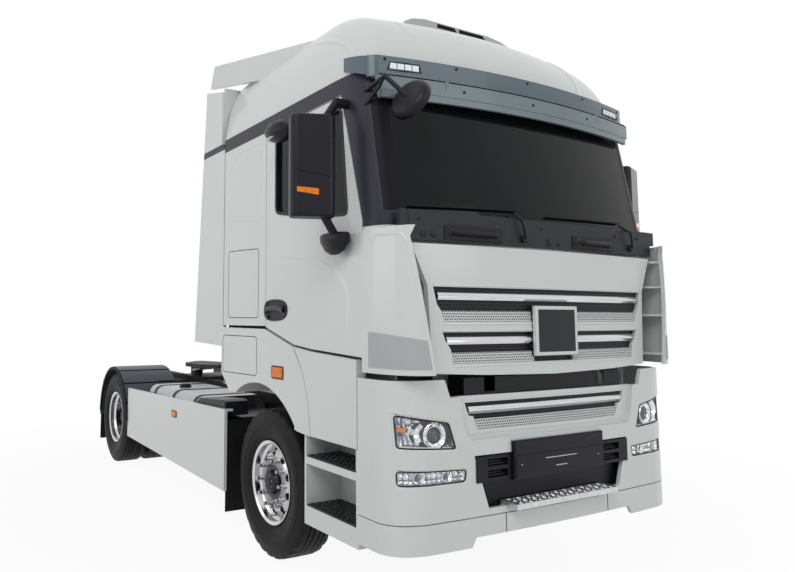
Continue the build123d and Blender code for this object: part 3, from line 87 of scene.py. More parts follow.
def add_camera():
    """Camera at the photograph's place, with its optical centre left of the middle."""
    data = bpy.data.cameras.new("camera")
    data.sensor_width = SENSOR
    data.lens = SENSOR * FOCAL_PIXELS / PHOTO_SIZE[0]
    data.shift_x = (PHOTO_SIZE[0] / 2 - OPTICAL_CENTRE[0]) / PHOTO_SIZE[0]
    data.shift_y = (OPTICAL_CENTRE[1] - PHOTO_SIZE[1] / 2) / PHOTO_SIZE[0]
    camera = bpy.data.objects.new("camera", data)
    turn = Matrix.Rotation(-CAMERA_YAW, 4, "Z") @ Matrix.Rotation(pi / 2 + CAMERA_PITCH, 4, "X")
    camera.matrix_world = Matrix.Translation(CAMERA_PLACE) @ turn @ Matrix.Rotation(CAMERA_ROLL, 4, "Z")
    scene.collection.objects.link(camera)
    scene.camera = camera


def add_area(name, place, aim, size, power):
    """Soft rectangular lamp."""
    data = bpy.data.lights.new(name, "AREA")
    data.shape = "RECTANGLE"
    data.size, data.size_y = size
    data.energy = power
    lamp = bpy.data.objects.new(name, data)
    lamp.location = place
    lamp.rotation_euler = (Vector(aim) - Vector(place)).to_track_quat("-Z", "Y").to_euler()
    scene.collection.objects.link(lamp)


def math_node(nodes, links, kind, a, b=None):
    """Output of one arithmetic node, each operand a socket or a number."""
    made = nodes.new("ShaderNodeMath")
    made.operation = kind
    for slot, value in zip(made.inputs, (a, b)):
        if isinstance(value, (int, float)):
            slot.default_value = value
        elif value is not None:
            links.new(value, slot)
    return made.outputs[0]


def seen_directly(nodes, links):
    """1 for camera, mirror and glass rays."""
    path = nodes.new("ShaderNodeLightPath")
    found = math_node(nodes, links, "MAXIMUM", path.outputs["Is Camera Ray"], path.outputs["Is Glossy Ray"])
    return math_node(nodes, links, "MAXIMUM", found, path.outputs["Is Transmission Ray"])


def set_inputs(node, **values):
    """Set inputs of a node, with an underscore for each space in a name."""
    for name, value in values.items():
        node.inputs[name.replace("_", " ")].default_value = value
    return node


def new_node(nodes, kind, **values):
    return set_inputs(nodes.new(kind), **values)


def mix_shaders(nodes, links, share, first, second, out):
    """Surface that goes from the first shader to the second as share goes from 0 to 1."""
    mix = nodes.new("ShaderNodeMixShader")
    for slot, value in zip(mix.inputs, (share, first.outputs[0], second.outputs[0])):
        links.new(value, slot)
    links.new(mix.outputs[0], out.inputs["Surface"])


def object_axes(nodes, links):
    """X, Y and Z of the Object coordinates."""
    split = nodes.new("ShaderNodeSeparateXYZ")
    links.new(nodes.new("ShaderNodeTexCoord").outputs["Object"], split.inputs[0])
    return split.outputs


def add_studio():
    """Pale floor, white surroundings for the lens, soft light for the object."""
    world = bpy.data.worlds.new("studio")
    scene.world = world
    world.use_nodes = True
    nodes, links = world.node_tree.nodes, world.node_tree.links
    nodes.clear()
    out = nodes.new("ShaderNodeOutputWorld")
    seen = new_node(nodes, "ShaderNodeBackground", Color=(1, 1, 1, 1), Strength=1.0)
    lit = new_node(nodes, "ShaderNodeBackground", Color=(0.93, 0.97, 1.0, 1), Strength=0.38)
    mix_shaders(nodes, links, seen_directly(nodes, links), lit, seen, out)

    corners = [(x, y, 0) for x, y in rect(-FLOOR_HALF, FLOOR_HALF, -FLOOR_HALF, FLOOR_HALF)]
    floor = mesh_piece("floor", corners, [(0, 1, 2, 3)])
    stuff, nodes, links, shader = new_material("floor_white")
    set_inputs(shader, Base_Color=(0.9, 0.9, 0.9, 1), Roughness=0.9, Specular_IOR_Level=0.0)
    glow = new_node(nodes, "ShaderNodeEmission", Strength=1.0)
    reach = nodes.new("ShaderNodeVectorMath")
    reach.operation = "LENGTH"
    links.new(nodes.new("ShaderNodeTexCoord").outputs["Object"], reach.inputs[0])
    fade = new_node(nodes, "ShaderNodeMapRange", From_Min=2.5, From_Max=6.5, To_Min=0.93, To_Max=1.0)
    links.new(reach.outputs["Value"], fade.inputs["Value"])
    share = math_node(nodes, links, "MULTIPLY", seen_directly(nodes, links), fade.outputs[0])
    mix_shaders(nodes, links, share, shader, glow, nodes["Material Output"])
    floor.data.materials.append(stuff)

    add_area("key", (-7.5, -8.0, 8.5), (0, 0, 1.5), (6, 5), 440)
    add_area("side", (-9.0, 1.5, 4.0), (0, 0.5, 1.5), (7, 4), 110)
    add_area("front", (2.0, -11.0, 4.5), (0, -2, 1.8), (6, 4), 130)
    add_area("left", (9.0, -1.0, 5.0), (0, 0, 1.5), (6, 4), 90)


# Mesh helpers
def mesh_piece(name, points, faces, smooth=False):
    """Piece made from points and faces."""
    mesh = bpy.data.meshes.new(name)
    mesh.from_pydata([tuple(p) for p in points], [], faces)
    mesh.validate()
    mesh.update()
    piece = bpy.data.objects.new(name, mesh)
    scene.collection.objects.link(piece)
    if smooth:
        for polygon in mesh.polygons:
            polygon.use_smooth = True
    return piece


def face_outward(mesh):
    """Turn the faces of each closed body outward."""
    cleaner = bmesh.new()
    cleaner.from_mesh(mesh)
    bmesh.ops.recalc_face_normals(cleaner, faces=cleaner.faces)
    cleaner.to_mesh(mesh)
    cleaner.free()


def turns(count, start=0.0):
    """Even angles round a circle."""
    return [2 * pi * (k + start) / count for k in range(count)]


def rect(x0, x1, z0, z1):
    return [(x0, z0), (x1, z0), (x1, z1), (x0, z1)]


def ahead_at(path, i):
    """Direction of a path at its point i."""
    return path[min(i + 1, len(path) - 1)] - path[max(i - 1, 0)]


class Maker:
    """Collects points and faces of one piece."""

    def __init__(self):
        self.points = []
        self.faces = []

    def skin(self, rows, closed=True, looped=False, first=False, last=False):
        """Faces from each row of points to the next.

        closed joins the ends of every row, looped joins the last row to the first, and first
        and last say which of the end rows is filled by a face.
        """
        start, count, total = len(self.points), len(rows[0]), len(rows)
        for k in range(total if looped else total - 1):
            base, after = start + k * count, start + (k + 1) % total * count
            for i in range(count if closed else count - 1):
                j = (i + 1) % count
                self.faces.append((base + i, base + j, after + j, after + i))
        if first:
            self.faces.append(tuple(start + i for i in reversed(range(count))))
        if last:
            self.faces.append(tuple(start + (total - 1) * count + i for i in range(count)))
        self.points += [tuple(p) for row in rows for p in row]

    def prism(self, outline, place):
        """Solid between two copies of an outline, place(point, end) gives each corner for end 0 and 1."""
        self.skin([[place(p, end) for p in outline] for end in (0, 1)], first=True, last=True)

    def slab(self, outline, near, far, side=1):
        """Prism of an outline of (x, z) between two depths from the front axle."""
        self.prism(outline, lambda p, end: at(side * p[0], (near, far)[end], p[1]))

    def lathe(self, profile, centre, axis, segments=64, closed=False):
        """Profile of (along, radius) turned about an axis through a centre."""
        axis = Vector(axis).normalized()
        side = axis.orthogonal().normalized()
        up = axis.cross(side)
        rows = []
        for turn in turns(segments):
            out = side * cos(turn) + up * sin(turn)
            rows.append([Vector(centre) + axis * a + out * r for a, r in profile])
        self.skin(rows, closed, looped=True)

    def tube(self, path, radius, segments=12):
        """Round bar along a list of points."""
        path = [Vector(p) for p in path]
        rows = []
        side = ahead_at(path, 0).normalized().orthogonal().normalized()
        for i, p in enumerate(path):
            ahead = ahead_at(path, i).normalized()
            side = (side - ahead * side.dot(ahead)).normalized()
            up = ahead.cross(side)
            rows.append([p + side * radius * cos(t) + up * radius * sin(t) for t in turns(segments)])
        self.skin(rows, first=True, last=True)

    def piece(self, name, body, material, smooth=True, bevel=0.0, angle=35):
        """Finished piece riding on a body."""
        made = mesh_piece(name, self.points, self.faces, smooth)
        face_outward(made.data)
        if bevel:
            rounding = made.modifiers.new("edge", "BEVEL")
            rounding.width = bevel
            rounding.segments = 2
            rounding.limit_method = "ANGLE"
        if smooth:
            made.data.set_sharp_from_angle(angle=radians(angle))
        made.data.materials.append(material)
        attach(made, body)
        return made


# Finishes
def new_material(name):
    """Material with its principled shader."""
    made = bpy.data.materials.new(name)
    made.use_nodes = True
    return made, made.node_tree.nodes, made.node_tree.links, made.node_tree.nodes["Principled BSDF"]


def finish(nodes, links, shader, colour, rough, metal=0.0, vary=0.06, scale=3.0, grain=0.0,
           grain_scale=900.0, coat=0.0, streak=None, spec=0.5):
    """Slow drift of colour and roughness and a fine grain, on one shader."""
    place = nodes.new("ShaderNodeTexCoord").outputs["Object"]
    drift = new_node(nodes, "ShaderNodeTexNoise", Scale=scale, Detail=5.0)
    if streak:
        stretch = new_node(nodes, "ShaderNodeMapping", Scale=streak)
        links.new(place, stretch.inputs["Vector"])
        links.new(stretch.outputs[0], drift.inputs["Vector"])
    else:
        links.new(place, drift.inputs["Vector"])
    ramp = nodes.new("ShaderNodeValToRGB")
    for stop, position, share in zip(ramp.color_ramp.elements, (0.3, 0.7), (1 - vary, 1 + vary)):
        stop.position = position
        stop.color = (*[min(1.0, c * share) for c in colour], 1)
    links.new(drift.outputs["Fac"], ramp.inputs[0])
    links.new(ramp.outputs[0], shader.inputs["Base Color"])
    span = new_node(nodes, "ShaderNodeMapRange", To_Min=max(0.02, rough * 0.85),
                    To_Max=min(1.0, rough * 1.15))
    links.new(drift.outputs["Fac"], span.inputs["Value"])
    links.new(span.outputs[0], shader.inputs["Roughness"])
    set_inputs(shader, Metallic=metal, Specular_IOR_Level=spec, Coat_Weight=coat, Coat_Roughness=0.08)
    if grain:
        fine = new_node(nodes, "ShaderNodeTexNoise", Scale=grain_scale)
        links.new(place, fine.inputs["Vector"])
        bump = new_node(nodes, "ShaderNodeBump", Strength=grain, Distance=0.001)
        links.new(fine.outputs["Fac"], bump.inputs["Height"])
        links.new(bump.outputs[0], shader.inputs["Normal"])


def varied(name, colour, rough, **rest):
    """Finish on its own."""
    made, nodes, links, shader = new_material(name)
    finish(nodes, links, shader, colour, rough, **rest)
    return made


def zoned(name, first, second, mask):
    """Two finishes on one node, the second where mask(nodes, links, x, y, z) is 1."""
    return part_finish(varied(name, **first), second, mask)


def part_finish(made, second, mask):
    """Second finish laid over a material where mask(nodes, links, x, y, z) is 1."""
    nodes, links = made.node_tree.nodes, made.node_tree.links
    other = nodes.new("ShaderNodeBsdfPrincipled")
    finish(nodes, links, other, **second)
    share = mask(nodes, links, *object_axes(nodes, links))
    mix_shaders(nodes, links, share, nodes["Principled BSDF"], other, nodes["Material Output"])
    return made


PAINT = {"colour": (0.625, 0.65, 0.63), "rough": 0.30, "vary": 0.015, "scale": 1.2, "coat": 0.35}
PILLAR = {"colour": (0.025, 0.024, 0.037), "rough": 0.40, "vary": 0.08, "grain": 0.1, "spec": 0.25}
WHITE_PAINT = varied("white_paint", **PAINT)
SLATE = {"colour": (0.062, 0.096, 0.122), "rough": 0.4, "vary": 0.05, "coat": 0.3}
PALE_SLATE = {"colour": (0.135, 0.175, 0.195), "rough": 0.42, "vary": 0.05, "coat": 0.2}
BLACK_PAINT = varied("black_paint", (0.010, 0.010, 0.011), 0.45, vary=0.15, grain=0.15, spec=0.25)
PLASTIC = {"colour": (0.0080, 0.0080, 0.013), "rough": 0.36, "vary": 0.12, "grain": 0.25, "spec": 0.2}
BLACK_PLASTIC = varied("black_plastic", **PLASTIC)
DARK_PLASTIC = varied("dark_plastic", (0.014, 0.015, 0.021), 0.42, vary=0.1, grain=0.25, spec=0.25)
GUARD_PLASTIC = varied("guard_plastic", (0.040, 0.052, 0.068), 0.42, vary=0.1, grain=0.2)
CAST_STEEL = varied("cast_steel", (0.04, 0.04, 0.045), 0.6, metal=0.5, vary=0.25, grain=0.5,
                    grain_scale=300)
TANK_ALLOY = varied("tank_alloy", (0.40, 0.41, 0.43), 0.34, metal=1.0, vary=0.12, scale=8,
                    streak=(30, 1, 1), grain=0.05)
CHROME = varied("chrome", (0.60, 0.61, 0.63), 0.10, metal=1.0, vary=0.12, scale=7, streak=(0.4, 6, 26))
STEEL = varied("steel", (0.42, 0.42, 0.43), 0.28, metal=1.0, vary=0.12, scale=20)
RUBBER = {"colour": (0.0085, 0.0085, 0.0095), "rough": 0.55, "vary": 0.25, "scale": 14, "grain": 0.25,
          "grain_scale": 400, "spec": 0.15}
TYRE = varied("tyre_rubber", **RUBBER)
FLAP = varied("flap_rubber", (0.009, 0.009, 0.010), 0.65, vary=0.2, scale=14, grain=0.3, grain_scale=200,
              spec=0.15)
CLOTH = varied("seat_cloth", (0.03, 0.03, 0.034), 0.9, vary=0.3, scale=60, grain=0.8, grain_scale=600)
AMBER = varied("amber_lens", (0.78, 0.19, 0.010), 0.22, vary=0.30, scale=70, spec=0.3)
RED = varied("red_lens", (0.5, 0.02, 0.015), 0.2, vary=0.1, scale=60, coat=0.6)
GUIDE_GREY = varied("guide_grey", (0.40, 0.41, 0.41), 0.45, vary=0.02)


def above(nodes, links, value, limit):
    return math_node(nodes, links, "GREATER_THAN", value, limit)


def below(nodes, links, value, limit):
    return math_node(nodes, links, "LESS_THAN", value, limit)


def both(nodes, links, a, b):
    return math_node(nodes, links, "MULTIPLY", a, b)


def pillar_zone(nodes, links, x, y, z):
    """Rail over the doors and the pillars beside the windshield."""
    slope = math_node(nodes, links, "MULTIPLY", math_node(nodes, links, "SUBTRACT", z, 2.31), 0.268)
    edge = math_node(nodes, links, "ADD", slope, AXLE_Y - 1.305)
    pillar = both(nodes, links, above(nodes, links, z, 2.27), above(nodes, links, edge, y))
    return math_node(nodes, links, "MAXIMUM", pillar, above(nodes, links, z, 3.14))


def stripe_zone(nodes, links, x, y, z):
    return both(nodes, links, above(nodes, links, z, 3.175), below(nodes, links, z, 3.232))


def visor_zone(nodes, links, x, y, z):
    return below(nodes, links, z, 3.190)


def tread_zone(nodes, links, x, y, z):
    """Plate at the foot of the lower opening."""
    inside = both(nodes, links, below(nodes, links, z, 0.6685), below(nodes, links, y, AXLE_Y - 1.602))
    return both(nodes, links, inside, above(nodes, links, z, 0.630))


def badge_zone(nodes, links, x, y, z):
    """Sides of the block behind the badge."""
    middle = below(nodes, links, math_node(nodes, links, "ABSOLUTE", x, 0.0), 0.1905)
    return both(nodes, links, middle, below(nodes, links, y, AXLE_Y - 1.655))


def rim_alloy_with_painted_shade(name, centre_y):
    """Polished rim that darkens towards its dark painted hub, the grey rings between hub and rim being
    painted shade of the dished disc.
    """
    made, nodes, links, shader = new_material(name)
    finish(nodes, links, shader, (0.6, 0.6, 0.61), 0.18, metal=1.0, vary=0.05, scale=9)
    axes = object_axes(nodes, links)
    squares = []
    for axis, centre in (("Y", centre_y), ("Z", AXLE_Z)):
        gap = math_node(nodes, links, "SUBTRACT", axes[axis], centre)
        squares.append(math_node(nodes, links, "POWER", gap, 2.0))
    reach = math_node(nodes, links, "SQRT", math_node(nodes, links, "ADD", *squares))
    # Colour by distance from the axle: the darkest core is the hub's own dark paint, and the darker rings
    # out towards the bright rim edge are painted shade of the disc's recesses.
    ramp = nodes.new("ShaderNodeValToRGB")
    ramp.color_ramp.elements[0].position = 0.40
    ramp.color_ramp.elements[0].color = (0.035, 0.036, 0.040, 1)
    ramp.color_ramp.elements[1].position = 0.44
    ramp.color_ramp.elements[1].color = (0.20, 0.20, 0.21, 1)
    for position, tone in ((0.60, 0.30), (0.66, 0.52), (0.80, 0.44), (0.90, 0.62)):
        ramp.color_ramp.elements.new(position).color = (tone, tone, tone * 1.02, 1)
    links.new(math_node(nodes, links, "DIVIDE", reach, 0.30), ramp.inputs[0])
    links.new(ramp.outputs[0], shader.inputs["Base Color"])
    return made


SHELL_FINISH = zoned("cab_shell_paint", PAINT, PILLAR, pillar_zone)
GUARD_FINISH = zoned("side_guard_paint", PAINT, PILLAR, stripe_zone)
VISOR_FINISH = zoned("visor_paint", SLATE, PALE_SLATE, visor_zone)
FRONT_RIM = rim_alloy_with_painted_shade("front_rim_alloy_and_shade", AXLE_Y)
REAR_RIM = rim_alloy_with_painted_shade("rear_rim_alloy_and_shade", REAR_AXLE_Y)


def dark_glass(name, colour, rough, alpha=0.93):
    """Tinted glass that reads nearly black against a dark cab."""
    made, nodes, links, shader = new_material(name)
    haze = new_node(nodes, "ShaderNodeTexNoise", Scale=2.0)
    links.new(nodes.new("ShaderNodeTexCoord").outputs["Object"], haze.inputs["Vector"])
    span = new_node(nodes, "ShaderNodeMapRange", To_Min=rough, To_Max=rough + 0.03)
    links.new(haze.outputs["Fac"], span.inputs["Value"])
    links.new(span.outputs[0], shader.inputs["Roughness"])
    set_inputs(shader, Base_Color=(*colour, 1), Alpha=alpha, IOR=1.5, Specular_IOR_Level=0.16)
    return made


def frit_zone(nodes, links, x, y, z):
    """Dark printed border at the sides of the windshield."""
    return above(nodes, links, math_node(nodes, links, "ABSOLUTE", x, 0.0), 1.075)


SCREEN_GLASS = dark_glass("screen_glass", (0.006, 0.007, 0.008), 0.03)
FRIT = {"colour": (0.008, 0.008, 0.011), "rough": 0.5, "spec": 0.1}
FRIT_GLASS = part_finish(dark_glass("windshield_glass", (0.006, 0.007, 0.008), 0.03), FRIT, frit_zone)
LENS = dark_glass("lamp_lens", (0.9, 0.92, 0.95), 0.02, alpha=0.10)
FLUTED_LENS = dark_glass("fluted_lens", (0.9, 0.92, 0.95), 0.06, alpha=0.16)


def offset_dots(nodes, links, pitch, radius):
    """1 inside round dots on two interleaved lattices, from Object coordinates."""
    axes = object_axes(nodes, links)

    def node(kind, a, b=None):
        return math_node(nodes, links, kind, a, b)

    masks = []
    for shift in (0.0, 0.5):
        distances = []
        for axis, step in (("X", pitch), ("Z", pitch * 1.732)):
            scaled = node("ADD", node("DIVIDE", axes[axis], step), shift)
            off = node("SUBTRACT", node("FRACT", scaled), 0.5)
            distances.append(node("POWER", node("MULTIPLY", off, step), 2.0))
        reach = node("SQRT", node("ADD", distances[0], distances[1]))
        masks.append(node("LESS_THAN", reach, radius))
    return node("MAXIMUM", masks[0], masks[1])


def pierced(name, colour, hole, rough, metal, pitch, radius):
    """Sheet with a lattice of round holes drawn in a darker finish."""
    made, nodes, links, shader = new_material(name)
    dots = offset_dots(nodes, links, pitch, radius)
    mix = nodes.new("ShaderNodeMix")
    mix.data_type = "RGBA"
    mix.inputs[6].default_value = (*colour, 1)
    mix.inputs[7].default_value = (*hole, 1)
    links.new(dots, mix.inputs[0])
    links.new(mix.outputs[2], shader.inputs["Base Color"])
    set_inputs(shader, Roughness=rough, Specular_IOR_Level=0.2)
    span = new_node(nodes, "ShaderNodeMapRange", To_Min=metal, To_Max=0.0)
    links.new(dots, span.inputs["Value"])
    links.new(span.outputs[0], shader.inputs["Metallic"])
    bump = new_node(nodes, "ShaderNodeBump", Strength=0.8, Distance=0.003)
    bump.invert = True
    links.new(dots, bump.inputs["Height"])
    links.new(bump.outputs[0], shader.inputs["Normal"])
    return made


PIERCED = pierced("pierced_strip", (0.62, 0.64, 0.63), (0.025, 0.025, 0.028), 0.35, 0.1, 0.0175, 0.0052)
MESH = ((0.026, 0.024, 0.032), (0.001, 0.001, 0.001), 0.42, 0.0, 0.022, 0.0082)
INSERT_FINISH = zoned("bumper_insert", PLASTIC,
                      {"colour": (0.62, 0.63, 0.64), "rough": 0.3, "metal": 0.85, "vary": 0.1,
                       "scale": 30}, tread_zone)
BLOCK_FINISH = part_finish(pierced("grille_mesh", *MESH), PAINT, badge_zone)
GLOSS_BLACK = varied("gloss_black", (0.008, 0.009, 0.013), 0.12, vary=0.15, spec=0.3)
GAP_BLACK = varied("gap_black", (0.005, 0.005, 0.006), 0.8, vary=0.1, spec=0.1)
BAND = varied("visor_band_paint", **PALE_SLATE)
LAMP_BOWL = varied("lamp_bowl", (0.50, 0.51, 0.54), 0.12, metal=1.0, vary=0.65, scale=30,
                   streak=(1.8, 1, 0.9))
LAMP_RING = varied("lamp_ring", (0.72, 0.73, 0.76), 0.08, metal=1.0, vary=0.35, scale=55)
TREAD_ALLOY = varied("tread_alloy", (0.72, 0.73, 0.74), 0.3, metal=0.6, vary=0.1, scale=30)
LAMP_EYE = varied("lamp_eye", (0.018, 0.022, 0.030), 0.03, vary=0.3, scale=30)
LAMP_WHITE = varied("lamp_white", (0.80, 0.83, 0.86), 0.15, vary=0.06, scale=90, coat=0.6)


FINISHES = {
    BLACK_PAINT: "frame radiator front_axle rear_axle front_springs coupling_base",
    CAST_STEEL: "powertrain coupling_plate knuckle_r knuckle_l",
    FLAP: "rear_springs mudflaps",
    TANK_ALLOY: "fuel_tank",
    BLACK_PLASTIC: "service_boxes kerb_mirror mirror_r mirror_l",
    WHITE_PAINT: "side_fairings bumper front_lip step_boxes front_fenders roof air_guides roof_wedge "
                 "roof_hatch door_r door_l front_lid",
    LENS: "front_lamps",
    INSERT_FINISH: "bumper_grille",
    GUARD_PLASTIC: "rear_fenders",
    STEEL: "deck",
    RED: "tail_lamps",
    SHELL_FINISH: "cab_shell",
    FRIT_GLASS: "windshield",
    VISOR_FINISH: "visor",
    DARK_PLASTIC: "cowl dashboard",
    GUARD_FINISH: "side_guards",
    CLOTH: "seats",
    SCREEN_GLASS: "door_glass_r door_glass_l",
    BLOCK_FINISH: "grille",
    FRONT_RIM: "wheel_front_r wheel_front_l",
    REAR_RIM: "wheel_rear_r wheel_rear_l",
    TYRE: "tyre_front_r tyre_front_l tyre_rear_r tyre_rear_l",
}


def dress_nodes():
    """Give every carried-over node its finish."""
    for stuff, names in FINISHES.items():
        for name in names.split():
            NODES[name].data.materials.clear()
            NODES[name].data.materials.append(stuff)


# Surfaces of the solids that trim is laid on, as depth from the front axle at a place across
def at(x, y, z):
    """Point with y given from the front axle."""
    return Vector((x, AXLE_Y + y, z))


def bow(x, half, side, middle):
    """Depth of a front panel's arc at x."""
    rise = side - middle
    radius = (half * half + rise * rise) / (2 * rise)
    return middle + radius - sqrt(max(0.0, radius * radius - x * x))


def lid_face(x, z=0):
    return bow(x, 1.130, -1.588, -1.650)


def cowl_face(x, z=0):
    return bow(x, 1.105, -1.598, -1.625)


def visor_low(x, z=0):
    return bow(x, 1.130, -1.420, -1.545)


def visor_high(x, z=0):
    return visor_low(x) + 0.040


def glass_face(x, z):
    part = (z - 2.355) / 0.755
    return bow(x, 1.110, -1.5 + 0.142 * part, -1.6 + 0.145 * part)


def bezier(t, *controls):
    """Point on a curve with any number of control points."""
    points = [Vector(c) for c in controls]
    while len(points) > 1:
        points = [a.lerp(b, t) for a, b in zip(points, points[1:])]
    return points[0]


BUMPER_CORNER = ((1.010, -1.622), (1.232, -1.585), (1.232, -1.420))


def bumper_face(x, z=0):
    """Depth of the bumper, its rounded corner included."""
    if abs(x) <= BUMPER_CORNER[0][0]:
        return bow(x, 1.010, -1.622, -1.656)
    low, high = 0.0, 1.0
    for _ in range(30):
        t = (low + high) / 2
        if bezier(t, *BUMPER_CORNER).x < abs(x):
            low = t
        else:
            high = t
    return bezier(low, *BUMPER_CORNER).y


def on_face(face, x, z, out=0.0):
    """Point on a front surface, moved outward along its normal, and that normal."""
    step = 0.002
    ahead, behind = min(abs(x) + step, 1.231), abs(x) - step
    slope = (face(ahead, z) - face(behind, z)) / (ahead - behind)
    normal = Vector((slope * (1 if x >= 0 else -1), -1, 0)).normalized()
    return at(x, face(x, z), z) + normal * out, normal


def sunk_face(x, z=0):
    """Depth of the sunk middle panel of the bumper."""
    return bow(x, 1.010, -1.587, -1.621)


def steps(a, b, count):
    return [a + (b - a) * i / count for i in range(count + 1)]


def smooth(t):
    t = max(0.0, min(1.0, t))
    return t * t * (3 - 2 * t)


def sweep(maker, spine, section, ring=False):
    """Closed section of (out, up) carried along a spine of (point, out, up)."""
    rows = [[point + out * a + up * b for a, b in section] for point, out, up in spine]
    maker.skin(rows, looped=ring, first=not ring, last=not ring)


def bar_across(maker, face, x0, x1, z, section, count=48):
    """Level bar that follows a bowed face."""
    sweep(maker, [(*on_face(face, x, z), UP) for x in steps(x0, x1, count)], section)


def across_path(laid):
    """Spine through (point, normal) places, turned with their path."""
    places = [place for place, _ in laid]
    return [(place, normal, normal.cross(ahead_at(places, i)).normalized())
            for i, (place, normal) in enumerate(laid)]


def side_spot(side, x, p, ahead):
    """One step of a spine on a side, at p of (y, z)."""
    across = Vector((-ahead.y, ahead.x)).normalized()
    return at(side * x, p.x, p.y), Vector((side, 0, 0)), Vector((0, across.x, across.y))


def outline_on_side(side, x, points, corner):
    """Spine round a side outline of (y, z), its corners rounded, for sweep with ring."""
    rounded = []
    total = len(points)
    for i, p in enumerate(points):
        p = Vector(p)
        a, b = [p + (q - p).normalized() * min(corner, (q - p).length / 2)
                for q in (Vector(points[i - 1]), Vector(points[(i + 1) % total]))]
        rounded += [bezier(t, a, p, b) for t in steps(0, 1, 5)]
    return [side_spot(side, x, p, rounded[(i + 1) % len(rounded)] - rounded[i - 1])
            for i, p in enumerate(rounded)]


def line_on_side(side, x, points):
    """Spine along an open side line of (y, z)."""
    points = [Vector(p) for p in points]
    return [side_spot(side, x, p, ahead_at(points, i)) for i, p in enumerate(points)]


def curve(points, count):
    """Smooth run through points."""
    points = [Vector(p) for p in points]
    out = []
    for i in range(len(points) - 1):
        a, b = points[i], points[i + 1]
        before = points[i - 1] if i else a * 2 - b
        after = points[i + 2] if i + 2 < len(points) else b * 2 - a
        for k in range(count):
            t = k / count
            out.append(0.5 * ((2 * a) + (b - before) * t + (2 * before - 5 * a + 4 * b - after) * t * t
                              + (3 * a - before - 3 * b + after) * t ** 3))
    return out + [points[-1]]


def disc_on(maker, spot, radius, height):
    """Round button standing on a surface, at a spot of (point, normal)."""
    profile = [(0, 0.0), (0, radius), (height * 0.7, radius), (height, radius * 0.85), (height, 0.0)]
    maker.lathe(profile, *spot, 24)


def seam_groove(width):
    """Thin dark line lying just proud of a panel."""
    return [(-0.002, -width / 2), (0.0008, -width / 2), (0.0008, width / 2), (-0.002, width / 2)]


def ridge(width, height):
    """Soft raised crease."""
    return [(-0.001, -width / 2), (height * 0.35, -width / 3.2), (height, 0), (height * 0.35, width / 3.2),
            (-0.001, width / 2)]


BADGE_HALF = 0.190
BADGE_FRONT = -1.6805
BADGE_BACK = -1.6749


def add_front_lid():
    """Grille bars, pierced strips, badge surround and trim that open with the lid."""
    chrome, strips, brow, surround, plate = [Maker() for _ in range(5)]
    blade = [(-0.020, -0.025), (-0.006, -0.021), (0.003, -0.005), (-0.002, 0.012), (-0.012, 0.023),
             (-0.020, 0.025)]
    slat = [(-0.024, -0.034), (-0.003, -0.034), (-0.007, 0.026), (-0.013, 0.032), (-0.024, 0.032)]
    crest = [(-0.004, -0.012), (0.004, -0.004), (0.003, 0.004), (-0.004, 0.010)]
    bar_across(chrome, lid_face, -0.908, 0.908, 1.860, blade)
    bar_across(brow, lid_face, -0.94, 0.94, 1.925, crest)
    for maker, section, z, half, share in (
            (chrome, blade, 1.603, 0.850, 1), (strips, slat, 1.744, 0.874, 1),
                                           (strips, slat, 1.503, 0.874, 0.934),
            (brow, crest, 1.700, 0.86, 1), (brow, crest, 1.664, 0.875, 1), (brow, crest, 1.459, 0.80, 1)):
        bar_across(maker, lid_face, -half * share, -BADGE_HALF * share, z, section, 24)
        bar_across(maker, lid_face, BADGE_HALF * share, half * share, z, section, 24)
    chrome.piece("grille_bars", "lid", CHROME, angle=30)
    strips.piece("grille_strips", "lid", PIERCED, angle=30)
    brow.piece("lid_creases", "lid", WHITE_PAINT, angle=30)

    outer = rect(-BADGE_HALF, BADGE_HALF, 1.505, 1.81)
    inner = rect(-0.168, 0.168, 1.527, 1.788)
    rows = [[at(x, BADGE_BACK, z) for x, z in outer]]
    rows.append([at(x * 0.985, BADGE_FRONT, z + (0.003 if z < 1.65 else -0.003)) for x, z in outer])
    rows += [[at(x, y, z) for x, z in inner] for y in (BADGE_FRONT, BADGE_BACK)]
    surround.skin(rows)
    surround.piece("badge_frame", "lid", WHITE_PAINT, smooth=False, bevel=0.001)
    plate.slab(inner, BADGE_BACK, BADGE_BACK - 0.0023)
    plate.piece("badge_blank", "lid", GLOSS_BLACK, smooth=False, bevel=0.001)


def quad_point(quad, u, v):
    """Place in a four-cornered outline of (x, z), u across from the inner edge, v up."""
    top_in, low_in, low_out, top_out = [Vector(p) for p in quad]
    low, top = low_in.lerp(low_out, u), top_in.lerp(top_out, u)
    return low.lerp(top, v)


HEADLAMP = [(0.850, 1.154), (0.795, 0.985), (1.188, 1.008), (1.200, 1.212)]
COVER_DEPTH = 0.0085
FOG_LAMP = [(0.728, 0.886), (0.742, 0.802), (1.186, 0.806), (1.190, 0.906)]


def lamp_outline(quad, inset, radius, arc=6, line=14):
    """Outline of an opening and the rounded outline set in from it, point for point."""
    points = [Vector(p) for p in quad]
    corners = []
    for i, p in enumerate(points):
        a, b = (points[i - 1] - p).normalized(), (points[(i + 1) % 4] - p).normalized()
        corners.append((p, p + (a + b) * (inset / abs(a.x * b.y - a.y * b.x)), a, b))
    outer, inner = [], []
    for i, (p, q, a, b) in enumerate(corners):
        for t in steps(0, 1, arc):
            inner.append(bezier(t, q + a * radius, q, q + b * radius))
            outer.append(p)
        after, q2, a2, _ = corners[(i + 1) % 4]
        for k in range(1, line):
            inner.append((q + b * radius).lerp(q2 + a2 * radius, k / line))
            outer.append(p.lerp(after, k / line))
    return outer, inner


def lamp_sheet(maker, quad, side, depth, across, up, inset=0.0):
    """Skin over a lamp's opening whose depth behind the bumper's face depends on (u, v)."""
    rows = []
    for v in [inset + (1 - 2 * inset) * j / up for j in range(up + 1)]:
        us = [inset + (1 - 2 * inset) * i / across for i in range(across + 1)]
        rows.append([lamp_spot(quad, side, u, v, depth(u, v))[0] for u in us])
    maker.skin(rows, closed=False)


